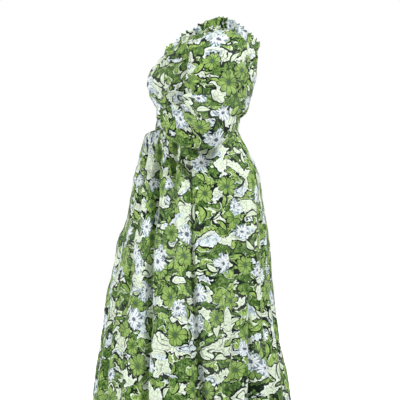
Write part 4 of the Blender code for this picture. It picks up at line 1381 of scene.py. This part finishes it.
def plain_weave_group():
    """Threads over and under each other, from the cloth's own plane."""
    sockets = [("Plane", VECTOR, None), ("Thread pitch", NUMBER, 0.00042)]
    board, give, result = new_group(WEAVE_GROUP, sockets, [("Height", NUMBER)])
    x, y, _ = board.split(give["Plane"])
    x, y = x / give["Thread pitch"], y / give["Thread pitch"]
    over = abs(board.math("MODULO", board.math("FLOOR", x) + board.math("FLOOR", y), 2.0))
    warp, weft = abs((x * math.pi).sine()), abs((y * math.pi).sine())
    board.feed(result.inputs["Height"], warp * over + weft * (1.0 - over))


WRONG_SIDE_FADING = 0.16
CRUMPLE_SCALE, FINE_CRUMPLE_SCALE, FINE_CRUMPLE_SHARE = 17.0, 60.0, 0.25
CRUMPLE_SHARPNESS = 5.0
CRUMPLE_STRENGTH, CRUMPLE_HEIGHT = 0.7, 0.0030
WEAVE_STRENGTH, WEAVE_HEIGHT = 0.5, 0.00008
CLOTH_ROUGHNESS, INK_SMOOTHING = 0.80, 0.12
CLOTH_SPECULAR, CLOTH_SHEEN, CLOTH_SHEEN_ROUGHNESS = 0.12, 0.04, 0.45
THREAD_TWIST_SCALE, THREAD_SHADE = 900.0, 0.62
THREAD_ROUGHNESS, THREAD_ROUGHNESS_SPREAD = 0.45, 0.2
THREAD_STRENGTH, THREAD_HEIGHT = 0.4, 0.0001


def new_material(name):
    """A material with an empty node tree, and that tree's board."""
    material = bpy.data.materials.new(name)
    material.use_nodes = True
    material.node_tree.nodes.clear()
    return material, Board(material.node_tree)


def wax_cloth(name, shift, turn_degrees, fading_share, cloth):
    """One piece's cloth: the print, cut from its own place on the roll, and the weave."""
    if WAX_GROUP not in bpy.data.node_groups:
        wax_print_group(bpy.context.scene.dress_print)
        plain_weave_group()
    material, board = new_material(name)
    placed = board.out(board.node("ShaderNodeMapping", {
        "Vector": board.out(board.node("ShaderNodeUVMap", uv_map="Cloth plane")),
        "Location": (*shift, 0.0), "Rotation": (0.0, 0.0, math.radians(turn_degrees)),
    }))
    wax = board.node(
        "ShaderNodeGroup", {"Plane": placed, "Fading": fading_share},
        node_tree=bpy.data.node_groups[WAX_GROUP],
    )
    weave = board.node(
        "ShaderNodeGroup", {"Plane": placed, "Thread pitch": cloth.thread_pitch},
        node_tree=bpy.data.node_groups[WEAVE_GROUP],
    )
    folded = 1.0 - abs(board.noise(placed, CRUMPLE_SCALE, 1.0, 0.45) - 0.5) * 2.0
    fine = board.noise(placed, FINE_CRUMPLE_SCALE, 2.0, 0.5) * FINE_CRUMPLE_SHARE
    bump = board.node("ShaderNodeBump", {
        "Strength": CRUMPLE_STRENGTH, "Distance": CRUMPLE_HEIGHT,
        "Height": folded ** CRUMPLE_SHARPNESS + fine,
    })
    weave_bump = board.node("ShaderNodeBump", {
        "Strength": WEAVE_STRENGTH, "Distance": WEAVE_HEIGHT,
        "Height": board.out(weave, "Height"), "Normal": board.out(bump),
    })
    shader = board.node("ShaderNodeBsdfPrincipled", {
        "Base Color": board.out(wax, "Colour"),
        "Roughness": CLOTH_ROUGHNESS - board.out(wax, "Dark ink") * INK_SMOOTHING,
        "Normal": board.out(weave_bump), "Specular IOR Level": CLOTH_SPECULAR,
        "Sheen Weight": CLOTH_SHEEN, "Sheen Roughness": CLOTH_SHEEN_ROUGHNESS,
    })
    board.node("ShaderNodeOutputMaterial", {"Surface": board.out(shader)})
    return material


def dress_in(obj, name, shift, turn_degrees):
    """Gives the piece its right side's and its wrong side's material."""
    cloth = bpy.context.scene.dress_cloth
    for side, fading_share in (("right side", 0.0), ("wrong side", WRONG_SIDE_FADING)):
        obj.data.materials.append(wax_cloth(f"{name}, {side}", shift, turn_degrees, fading_share, cloth))


# ---------------------------------------------------------------- ruffles, by geometry nodes
RUFFLE_SEED_STEP = 3.7
RUFFLE_SLOW_SCALE, RUFFLE_QUICK_SCALE = 3.1, 7.3
RUFFLE_SHIFT, RUFFLE_SIZE = 3.4, 3.0  # for an unevenness of 1
RUFFLE_DOUBLE = 0.14
RUFFLE_RISE_POWER = 0.75


def ruffle_tree():
    """Waves a band in and out: more towards its free edge, and not all waves alike."""
    board, give, result = new_group("Ruffle", [
        ("Band", GEOMETRY, None), ("Waves", NUMBER, 40.0), ("Depth", NUMBER, 0.005),
        ("Lift", NUMBER, 0.001), ("Unevenness", NUMBER, 0.3), ("Seed", WHOLE_NUMBER, 1),
        ("Right side", MATERIAL, None),
    ], [("Ruffle", GEOMETRY)], "GeometryNodeTree")

    def named(attribute, kind):
        return board.out(board.node("GeometryNodeInputNamedAttribute", {"Name": attribute}, data_type=kind))

    around, rise, outward = named("around", "FLOAT"), named("rise", "FLOAT"), named("outward", "FLOAT_VECTOR")
    turn = around * TURN
    circle = board.out(board.node("ShaderNodeCombineXYZ", {
        0: turn.sine(), 1: board.math("COSINE", turn), 2: give["Seed"] * RUFFLE_SEED_STEP,
    }))
    slow, quick = (
        board.out(board.node("ShaderNodeTexNoise", {"Vector": circle, "Scale": scale, "Detail": 1.0}))
        for scale in (RUFFLE_SLOW_SCALE, RUFFLE_QUICK_SCALE)
    )
    shift = (slow - 0.5) * give["Unevenness"] * RUFFLE_SHIFT
    size = (quick - 0.5) * give["Unevenness"] * RUFFLE_SIZE + 1.0
    place = (around * give["Waves"] + shift) * TURN
    wave = place.sine()
    amount = (wave + (place * 2.0).sine() * RUFFLE_DOUBLE) * size * give["Depth"] * rise ** RUFFLE_RISE_POWER
    lift = board.node("ShaderNodeCombineXYZ", {2: (wave * wave - 0.5) * size * give["Lift"] * rise})
    offset = board.vector("ADD", board.scaled(outward, amount), board.out(lift))
    moved = board.node("GeometryNodeSetPosition", {"Geometry": give["Band"], "Offset": offset})
    return finish_geometry(board, result, board.out(moved), give["Right side"])


def run_tree(obj, tree, values):
    """Puts the tree on the object with those values, and keeps what it makes."""
    modifier = obj.modifiers.new(tree.name, "NODES")
    modifier.node_group = tree
    for item in tree.interface.items_tree:
        if item.in_out == "INPUT" and item.name in values:
            modifier[item.identifier] = values[item.name]
    return baked(obj)


def ruffled(obj, around, rise, outward, settings):
    """Lays the band's own places on its points and lets the ruffle tree wave it."""
    tree = bpy.data.node_groups.get("Ruffle") or ruffle_tree()
    shape = (len(rise), len(around) - 1)
    places = {
        "around": np.broadcast_to(around[:-1], shape),
        "rise": np.broadcast_to(rise[:, None], shape),
        "outward": np.broadcast_to(outward[:-1], (*shape, 3)),
    }
    for name, values in places.items():
        kind, slot = ("FLOAT", "value") if values.ndim == 2 else ("FLOAT_VECTOR", "vector")
        layer = obj.data.attributes.new(name, kind, "POINT")
        layer.data.foreach_set(slot, values.astype(np.float32).ravel())
    materials = list(obj.data.materials)
    run_tree(obj, tree, {**settings, "Right side": materials[0]})
    obj.data.materials.clear()
    for material in materials:
        obj.data.materials.append(material)
    for name in places:
        if name in obj.data.attributes:
            obj.data.attributes.remove(obj.data.attributes[name])
    return obj


# ---------------------------------------------------------------- stitches, by geometry nodes
def stitch_tree():
    """Lays a short thread at each step along the guide lines."""
    board, give, result = new_group("Running stitch", [
        ("Guides", GEOMETRY, None), ("Pitch", NUMBER, 0.0033), ("Length", NUMBER, 0.0026),
        ("Radius", NUMBER, 0.0003), ("Thread", MATERIAL, None),
    ], [("Stitches", GEOMETRY)], "GeometryNodeTree")
    line = board.out(board.node("GeometryNodeMeshToCurve", {"Mesh": give["Guides"]}))
    points = board.node("GeometryNodeCurveToPoints", mode="LENGTH")
    board.feed(points.inputs["Curve"], line)
    board.feed(points.inputs["Length"], give["Pitch"])
    ball = board.node("GeometryNodeMeshUVSphere", {"Segments": 5, "Rings": 4, "Radius": 1.0})
    scale = board.node("ShaderNodeCombineXYZ", {
        0: give["Radius"], 1: give["Radius"], 2: give["Length"] * 0.5,
    })
    laid = board.node("GeometryNodeInstanceOnPoints", {
        "Points": board.out(points, "Points"), "Instance": board.out(ball),
        "Rotation": board.out(points, "Rotation"), "Scale": board.out(scale),
    })
    return finish_geometry(board, result, board.out(laid), give["Thread"])


def thread_material(thread):
    material, board = new_material("Sewing thread")
    place = board.out(board.node("ShaderNodeTexCoord"), "Object")
    twist = board.out(board.node("ShaderNodeTexNoise", {
        "Vector": place, "Scale": THREAD_TWIST_SCALE, "Detail": 2.0,
    }))
    dark = tuple(value * THREAD_SHADE for value in thread.colour)
    bump = board.node("ShaderNodeBump", {
        "Strength": THREAD_STRENGTH, "Distance": THREAD_HEIGHT, "Height": twist,
    })
    shader = board.node("ShaderNodeBsdfPrincipled", {
        "Base Color": board.mix(twist, (*dark, 1.0), (*thread.colour, 1.0)),
        "Roughness": twist * THREAD_ROUGHNESS_SPREAD + THREAD_ROUGHNESS, "Normal": board.out(bump),
    })
    board.node("ShaderNodeOutputMaterial", {"Surface": board.out(shader)})
    return material


GUIDES = {}


def keep_guide(name, line, closed):
    """Remembers a line of sewing for the stitches that are made last."""
    GUIDES.setdefault(name, []).append((np.array(line), closed))


# ---------------------------------------------------------------- operators
BODY_ROWS, BODY_COLUMNS = 110, 150
# Which set of uneven waves each use of ripple starts from.
BODY_PUCKER_SET, BODY_RIPPLE_SET = 4, 9
SLEEVE_PUCKER_SET, SLEEVE_GATHERS_SET, SLEEVE_RIPPLE_SET = 7, 11, 21
SKIRT_RIPPLE_SET, SKIRT_SMALL_SET = 31, 33
BODY_TURN_DEG = 4.0  # of the print on the bodice
BODY_RIPPLE, BODY_RIPPLE_PITCH = 0.0014, 0.045
BODY_EDGE_CALM = 0.03
BODY_STITCH_ROW = 6
SLEEVE_OUTER_COLUMNS = slice(60, 115)
SLEEVE_RIPPLE, SLEEVE_RIPPLE_PITCH, SLEEVE_RIPPLE_REACH = 0.0016, 0.05, 0.06
SLEEVE_END_CALM, SLEEVE_SEAM_CALM = 0.02, 0.04
SLEEVE_NECK_STITCH_ROW = 4
CUFF_STITCH_ROWS = (-3, -7)
NECK_FRILL_ROWS, NECK_FRILL_COLUMNS = 14, 1200
NECK_FRILL_PRINT_RUN, NECK_FRILL_PRINT_STRETCH = 1.62, 1.25
NECK_FRILL_LIFT, NECK_FRILL_UNEVENNESS = 0.0026, 0.72
CUFF_FRILL_ROWS, CUFF_FRILL_COLUMNS = 8, 320
CUFF_FRILL_PRINT_RUN = 0.40
CUFF_FRILL_UNEVENNESS = 0.25
WAISTBAND_ROWS, WAISTBAND_COLUMNS = 26, 480
WAISTBAND_STITCH_ROWS = (3, -4)
WAISTBAND_PUCKER, WAISTBAND_PUCKERS, WAISTBAND_STRAY, WAISTBAND_STRAYS = 0.0007, 58, 1.3, 7
WAISTBAND_WAVE, WAISTBAND_WAVES = 0.0009, 9
WAISTBAND_SEAM, WAISTBAND_SEAM_WIDTH, WAISTBAND_SEAM_PLACES = 0.0006, 0.05, (0.10, 0.90)
WAISTBAND_EDGE_CALM = 0.06
SKIRT_ROWS, SKIRT_COLUMNS = 150, 300
SKIRT_RIPPLE, SKIRT_RIPPLE_PITCH, SKIRT_RIPPLE_STRETCH, SKIRT_RIPPLE_START = 0.0032, 0.085, 0.30, 0.5
SKIRT_SMALL_RIPPLE, SKIRT_SMALL_PITCH, SKIRT_SMALL_STRETCH = 0.0010, 0.034, 0.6
SKIRT_SEAM_CALM, SKIRT_BAND_CALM = 0.03, 0.012
# The print draws together in the front's gathers. Below them it keeps its own width beside the left
# side seam, and further round it narrows towards the waist as the columns do.
PRINT_SQUEEZE, PRINT_SQUEEZE_FADE = 0.85, 0.16
PRINT_NARROWED_FROM, PRINT_NARROWED_OVER = 0.06, 0.40
HEM_DEPTH = 0.022


class DRESS_OT_bodice(bpy.types.Operator):
    """Make the front and the back of the bodice, gathered into the elastic and into the waistband"""

    bl_idname = "dress.bodice"
    bl_label = "Bodice"

    def execute(self, context):
        cloth = context.scene.dress_cloth
        for number, (node, creases, roll_place, flat_size) in enumerate((
            ("bodice_front", BODICE_FRONT_CREASES, (0.20, 0.55), (0.56, 0.23)),
            ("bodice_back", BODICE_BACK_CREASES, (1.30, 0.52), (0.54, 0.22)),
        )):
            grid = bodice_grid(node == "bodice_front", BODY_ROWS, BODY_COLUMNS)
            flat = plane_of(grid, BODY_COLUMNS // 2)
            across, down = flat[..., 0], -flat[..., 1]
            amount = creased(flat, creases)
            amount = amount + elastic_gathers(across, down, cloth.pucker_depth, BODY_PUCKER_SET + number)
            amount = amount + BODY_RIPPLE * ripple(across, down, BODY_RIPPLE_PITCH, BODY_RIPPLE_SET + number)
            grid = moved_in(grid, amount * (1.0 - at_edges(grid, BODY_EDGE_CALM)))
            obj = cut_piece(node, grid, flat, roll_place, turn_degrees=BODY_TURN_DEG)
            given_thickness(obj, cloth.thickness)
            declare(obj, node)
            keep_guide("neck", lifted(grid)[BODY_STITCH_ROW], False)
        return {"FINISHED"}


class DRESS_OT_sleeves(bpy.types.Operator):
    """Make both raglan sleeves, gathered into the neckline and into the cuffs"""

    bl_idname = "dress.sleeves"
    bl_label = "Sleeves"

    def execute(self, context):
        cloth = context.scene.dress_cloth
        for number, (node, arm, creases, roll_place) in enumerate((
            ("left_sleeve", BENT_ARM, BENT_SLEEVE_CREASES, (1.70, 0.80)),
            ("right_sleeve", HANGING_ARM, HANGING_SLEEVE_CREASES, (2.9, 0.7)),
        )):
            grid = sleeve_grid(arm)
            flat = plane_of(grid, SLEEVE_COLUMNS // 2)
            across, down = flat[..., 0], -flat[..., 1]
            amount = creased(flat, creases)
            amount = amount + elastic_gathers(across, down, cloth.pucker_depth, SLEEVE_PUCKER_SET + number)
            around = np.linspace(0.0, 1.0, grid.shape[1])[None, :]
            rows = np.linspace(0.0, 1.0, grid.shape[0])[:, None]
            waved = SLEEVE_RIPPLE_REACH * np.sin(TURN * around)
            amount = amount + SLEEVE_RIPPLE * ripple(waved, down, SLEEVE_RIPPLE_PITCH, SLEEVE_RIPPLE_SET)
            amount = amount * smooth_step(np.minimum(rows, 1.0 - rows) / SLEEVE_END_CALM)
            amount = amount * smooth_step(np.minimum(around, 1.0 - around) / SLEEVE_SEAM_CALM)
            grid = moved_in(grid, amount, SLEEVE_CAP_ROWS)
            level_down = flat[:, SLEEVE_OUTER_COLUMNS, 1].mean(axis=1)[:, None]
            flat = np.stack([across, np.broadcast_to(level_down, across.shape)], axis=-1)
            if node == "right_sleeve":
                grid = grid[:, ::-1] * MIRRORED
                flat = flat[:, ::-1] * MIRRORED[:2]
            obj = cut_piece(node, grid, flat, roll_place, SLEEVE_CAP_ROWS)
            given_thickness(obj, cloth.thickness)
            declare(obj, node)
            raised = lifted(grid, SLEEVE_CAP_ROWS)
            keep_guide("neck", raised[SLEEVE_NECK_STITCH_ROW], False)
            for row in CUFF_STITCH_ROWS:
                keep_guide("cuff", raised[row], True)
        return {"FINISHED"}


class DRESS_OT_frills(bpy.types.Operator):
    """Make the frill on the neckline and the short one on each cuff"""

    bl_idname = "dress.frills"
    bl_label = "Frills"

    def execute(self, context):
        cloth = context.scene.dress_cloth
        around = np.linspace(0.0, 1.0, NECK_FRILL_COLUMNS + 1)
        degrees = 360.0 * around
        toward = np.cos(np.radians(degrees))
        end_rise = np.where(toward > 0, FRILL_FRONT_RISE, FRILL_BACK_RISE)
        end_lean = np.where(toward > 0, FRILL_FRONT_LEAN, FRILL_BACK_LEAN)
        rise = blend(FRILL_SIDE_RISE, end_rise, toward * toward)
        lean = blend(FRILL_SIDE_LEAN, end_lean, toward * toward)
        outward = neck_outward(degrees)
        share = np.linspace(1.0, 0.0, NECK_FRILL_ROWS + 1)
        offset = outward * lean[:, None] + UP * rise[:, None]
        grid = neckline(degrees) + offset * share[:, None, None]
        flat = plane_of(grid, 0)
        flat[..., 0] = around * NECK_FRILL_PRINT_RUN
        flat[..., 1] *= NECK_FRILL_PRINT_STRETCH
        obj = cut_piece("neck_frill", grid, flat, roll_place=(5.1, 0.45), tube_from=0)
        ruffled(obj, around, share, outward, {
            "Waves": float(cloth.frill_waves), "Depth": cloth.frill_depth, "Lift": NECK_FRILL_LIFT,
            "Unevenness": NECK_FRILL_UNEVENNESS, "Seed": 3,
        })
        given_thickness(obj, cloth.thickness)
        declare(obj, "neck_frill")
        self.cuff(cloth, "left", BENT_ARM, seed=5)
        self.cuff(cloth, "right", HANGING_ARM, seed=8)
        return {"FINISHED"}

    @staticmethod
    def cuff(cloth, side, arm, seed):
        last = ring_middle(arm[-1])
        onward = normalised((last - ring_middle(arm[-2]))[None])[0]
        around = np.linspace(0.0, 1.0, CUFF_FRILL_COLUMNS + 1)
        edge = ring_point(arm[-1], RING_START_DEG + 360.0 * around)
        outward = normalised(edge - last)
        share = np.linspace(0.0, 1.0, CUFF_FRILL_ROWS + 1)
        offset = onward * CUFF_FRILL_LENGTH + outward * CUFF_FRILL_OPENING
        grid = edge + offset * share[:, None, None]
        if side == "right":
            grid, outward = grid[:, ::-1] * MIRRORED, outward[::-1] * MIRRORED
        flat = plane_of(grid, 0)
        flat[..., 0] = around * CUFF_FRILL_PRINT_RUN
        node = f"{side}_cuff_frill"
        obj = cut_piece(node, grid, flat, roll_place=(4.4, 0.4), tube_from=0)
        ruffled(obj, around, share, outward, {
            "Waves": float(cloth.cuff_waves), "Depth": cloth.cuff_depth, "Lift": 0.0,
            "Unevenness": CUFF_FRILL_UNEVENNESS, "Seed": seed,
        })
        given_thickness(obj, cloth.thickness)
        declare(obj, node)


class DRESS_OT_waistband(bpy.types.Operator):
    """Make the narrow fitted band between the bodice and the skirt"""

    bl_idname = "dress.waistband"
    bl_label = "Waistband"

    def execute(self, context):
        cloth = context.scene.dress_cloth
        heights = np.linspace(WAISTBAND[0].z, WAISTBAND[-1].z, WAISTBAND_ROWS + 1)
        degrees = np.linspace(0.0, 360.0, WAISTBAND_COLUMNS + 1)[None, :] + np.zeros((WAISTBAND_ROWS + 1, 1))
        grid = level_grid(WAISTBAND, heights, degrees)
        flat = plane_of(grid, WAISTBAND_COLUMNS // 4)
        down = np.linspace(0.0, 1.0, WAISTBAND_ROWS + 1)[:, None]
        angle = np.radians(degrees)
        stray = WAISTBAND_STRAY * np.sin(WAISTBAND_STRAYS * angle)
        puckers = np.sin(WAISTBAND_PUCKERS * angle + stray) * np.sin(math.pi * down)
        waves = np.sin(3.0 * math.pi * down) * np.sin(WAISTBAND_WAVES * angle + 2.0)
        amount = WAISTBAND_PUCKER * puckers + WAISTBAND_WAVE * waves
        for seam in WAISTBAND_SEAM_PLACES:
            amount = amount + WAISTBAND_SEAM * fading(down - seam, WAISTBAND_SEAM_WIDTH)
        calm = smooth_step(np.minimum(down, 1.0 - down) / WAISTBAND_EDGE_CALM)
        grid = moved_in(grid, amount * calm, 0)
        obj = cut_piece("waistband", grid, flat, roll_place=(5.2, 0.9), tube_from=0)
        given_thickness(obj, cloth.thickness)
        declare(obj, "waistband")
        raised = lifted(grid, 0)
        for row in WAISTBAND_STITCH_ROWS:
            keep_guide("waist", raised[row], True)
        return {"FINISHED"}


class DRESS_OT_skirt(bpy.types.Operator):
    """Make both gathered panels of the skirt, with their folds and the hem"""

    bl_idname = "dress.skirt"
    bl_label = "Skirt"

    def execute(self, context):
        cloth = context.scene.dress_cloth
        for number, (node, first_deg, left_column, stray_number, creases) in enumerate((
            ("skirt_front", -90.0, SKIRT_COLUMNS, 5, SKIRT_FRONT_CREASES),
            ("skirt_back", 90.0, 0, 7, SKIRT_BACK_CREASES),
        )):
            grid, heights, degrees, share = skirt_grid(first_deg, SKIRT_ROWS, SKIRT_COLUMNS, stray_number)
            flat = plane_of(grid, left_column)
            across, down = flat[..., 0], -flat[..., 1]
            broad = ripple(across, SKIRT_RIPPLE_STRETCH * down, SKIRT_RIPPLE_PITCH, SKIRT_RIPPLE_SET + number)
            small = ripple(across, SKIRT_SMALL_STRETCH * down, SKIRT_SMALL_PITCH, SKIRT_SMALL_SET + number)
            amount = creased(flat, creases)
            amount = amount + SKIRT_RIPPLE * broad * smooth_step(down / SKIRT_RIPPLE_START)
            amount = amount + SKIRT_SMALL_RIPPLE * small
            amount = amount * smooth_step(np.minimum(share, 1.0 - share) / SKIRT_SEAM_CALM)
            grid = moved_in(grid, amount * smooth_step(down / SKIRT_BAND_CALM))
            facing_front = (1.0 + np.cos(np.radians(degrees))) / 2.0
            squeeze = 1.0 + PRINT_SQUEEZE * fading(down, PRINT_SQUEEZE_FADE) * facing_front
            steps = np.diff(across, axis=1) * (squeeze[:, 1:] + squeeze[:, :-1]) / 2.0
            run = np.concatenate([np.zeros((SKIRT_ROWS + 1, 1)), np.cumsum(steps, axis=1)], axis=1)
            run = run - run[:, left_column][:, None]
            hem_run = run[-1][None, :]
            narrowed = smooth_step((abs(hem_run) - PRINT_NARROWED_FROM) / PRINT_NARROWED_OVER)
            flat[..., 0] = blend(run, hem_run, narrowed)
            obj = cut_piece(node, grid, flat, roll_place=(6.3, 0.2))
            given_thickness(obj, cloth.thickness)
            declare(obj, node)
            hem_row = int(np.argmin(abs(heights - (SKIRT[-1].z + HEM_DEPTH))))
            keep_guide("hem", lifted(grid)[hem_row], False)
        return {"FINISHED"}


class DRESS_OT_stitches(bpy.types.Operator):
    """Lay the stitches along the elastic, the cuffs, the waistband and the hem"""

    bl_idname = "dress.stitches"
    bl_label = "Stitches"

    def execute(self, context):
        thread = context.scene.dress_thread
        material = thread_material(thread)
        tree = stitch_tree()
        for name, lines in GUIDES.items():
            points, edges = [], []
            for line, closed in lines:
                first = len(points)
                line = line[:-1] if closed else line
                points += line.tolist()
                edges += [(first + i, first + i + 1) for i in range(len(line) - 1)]
                if closed:
                    edges.append((len(points) - 1, first))
            mesh = bpy.data.meshes.new(f"{name}_stitches")
            mesh.from_pydata(points, edges, [])
            obj = link(bpy.data.objects.new(f"{name}_stitches", mesh))
            run_tree(obj, tree, {
                "Pitch": thread.stitch_pitch, "Length": thread.stitch_length,
                "Radius": thread.thread_radius, "Thread": material,
            })
            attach(obj, "root")
        return {"FINISHED"}


LIGHTS_AIM = (0.0, 0.0, -0.6)
Light = namedtuple("Light", "name place size watts")
LIGHTS = [
    Light("Key light", (1.95, 1.6, 2.2), 0.7, 120.0),
    Light("Fill light", (3.9, -0.4, 0.4), 1.2, 9.0),
    Light("Front light", (1.2, -3.7, 0.9), 1.2, 102.0),
    Light("Left light", (-3.6, -0.8, 1.2), 2.0, 45.0),
    Light("Back light", (-2.4, 2.9, 2.0), 2.0, 45.0),
]
WHITE = (1.0, 1.0, 1.0, 1.0)
WORLD_LIGHT, WORLD_SEEN = 0.10, 0.90
CAMERA_PLACE = (3.5, -0.040, -0.539)
SENSOR_WIDTH = 36.0  # millimetres
SEEN_WIDTH = 1.28  # at the middle of the dress
FLOOR_Z, FLOOR_RADIUS, FLOOR_CORNERS = -1.30, 6.0, 96
FLOOR_PALE, FLOOR_PALEST = (0.93, 0.93, 0.92, 1.0), (0.97, 0.97, 0.96, 1.0)
FLOOR_GLOW = 0.82


class DRESS_OT_stage(bpy.types.Operator):
    """Set the plain pale floor, the soft studio lights and the camera"""

    bl_idname = "dress.stage"
    bl_label = "Stage"

    def execute(self, context):
        self.floor()
        for light in LIGHTS:
            self.light(light)
        world = bpy.data.worlds.new("Studio")
        context.scene.world = world
        world.use_nodes = True
        world.node_tree.nodes.clear()
        board = Board(world.node_tree)
        seen = board.out(board.node("ShaderNodeLightPath"), "Is Camera Ray")
        back = board.node("ShaderNodeBackground", {
            "Color": WHITE, "Strength": seen * WORLD_SEEN + WORLD_LIGHT,
        })
        board.node("ShaderNodeOutputWorld", {"Surface": board.out(back)})
        camera = bpy.data.cameras.new("Camera")
        camera.sensor_width = SENSOR_WIDTH
        camera.lens = SENSOR_WIDTH * CAMERA_PLACE[0] / SEEN_WIDTH
        holder = link(bpy.data.objects.new("Camera", camera))
        holder.location = CAMERA_PLACE
        holder.rotation_euler = (math.radians(90.0), 0.0, math.radians(90.0))
        context.scene.camera = holder
        context.scene.view_settings.view_transform = "Standard"
        return {"FINISHED"}

    @staticmethod
    def floor():
        turns = [TURN * corner / FLOOR_CORNERS for corner in range(FLOOR_CORNERS)]
        points = [(FLOOR_RADIUS * math.cos(a), FLOOR_RADIUS * math.sin(a), FLOOR_Z) for a in turns]
        mesh = bpy.data.meshes.new("floor")
        mesh.from_pydata(points, [], [tuple(range(FLOOR_CORNERS))])
        material = bpy.data.materials.new("Pale floor")
        material.use_nodes = True
        board = Board(material.node_tree)
        shader = material.node_tree.nodes["Principled BSDF"]
        place = board.out(board.node("ShaderNodeTexCoord"), "Object")
        grain = board.out(board.node("ShaderNodeTexNoise", {"Vector": place, "Scale": 3.0, "Detail": 4.0}))
        board.feed(shader.inputs["Base Color"], board.mix(grain, FLOOR_PALE, FLOOR_PALEST))
        shader.inputs["Roughness"].default_value = 0.9
        seen = board.out(board.node("ShaderNodeLightPath"), "Is Camera Ray")
        shader.inputs["Emission Color"].default_value = WHITE
        board.feed(shader.inputs["Emission Strength"], seen * FLOOR_GLOW)
        mesh.materials.append(material)
        link(bpy.data.objects.new("floor", mesh))

    @staticmethod
    def light(wanted):
        light = bpy.data.lights.new(wanted.name, "AREA")
        light.shape = "DISK"
        light.size = wanted.size
        light.energy = wanted.watts
        holder = link(bpy.data.objects.new(wanted.name, light))
        holder.location = wanted.place
        way = np.array(LIGHTS_AIM) - np.array(wanted.place)
        level = math.hypot(way[0], way[1])
        holder.rotation_euler = (math.atan2(level, -way[2]), 0.0, math.atan2(way[1], way[0]) - math.pi / 2.0)


class DRESS_PT_panel(bpy.types.Panel):
    """Makes the dress piece by piece"""

    bl_idname = "DRESS_PT_panel"
    bl_label = "Wax print dress"
    bl_space_type = "VIEW_3D"
    bl_region_type = "UI"
    bl_category = "Dress"

    def draw(self, context):
        for operator in OPERATORS:
            self.layout.operator(operator.bl_idname)
        for group in ("dress_print", "dress_cloth", "dress_thread"):
            settings = getattr(context.scene, group)
            box = self.layout.box()
            for name in settings.__annotations__:
                box.prop(settings, name)


GROUPS = {"dress_print": DressPrint, "dress_cloth": DressCloth, "dress_thread": DressThread}
OPERATORS = (
    DRESS_OT_bodice,
    DRESS_OT_sleeves,
    DRESS_OT_frills,
    DRESS_OT_waistband,
    DRESS_OT_skirt,
    DRESS_OT_stitches,
    DRESS_OT_stage,
)


def register():
    for made in (*GROUPS.values(), *OPERATORS, DRESS_PT_panel):
        bpy.utils.register_class(made)
    for name, group in GROUPS.items():
        setattr(bpy.types.Scene, name, PointerProperty(type=group))


def unregister():
    for name in GROUPS:
        delattr(bpy.types.Scene, name)
    for made in reversed((*GROUPS.values(), *OPERATORS, DRESS_PT_panel)):
        bpy.utils.unregister_class(made)


def main():
    register()
    bpy.ops.dress.bodice()
    bpy.ops.dress.sleeves()
    bpy.ops.dress.frills()
    bpy.ops.dress.waistband()
    bpy.ops.dress.skirt()
    bpy.ops.dress.stitches()
    bpy.ops.dress.stage()


if __name__ == "__main__":
    main()
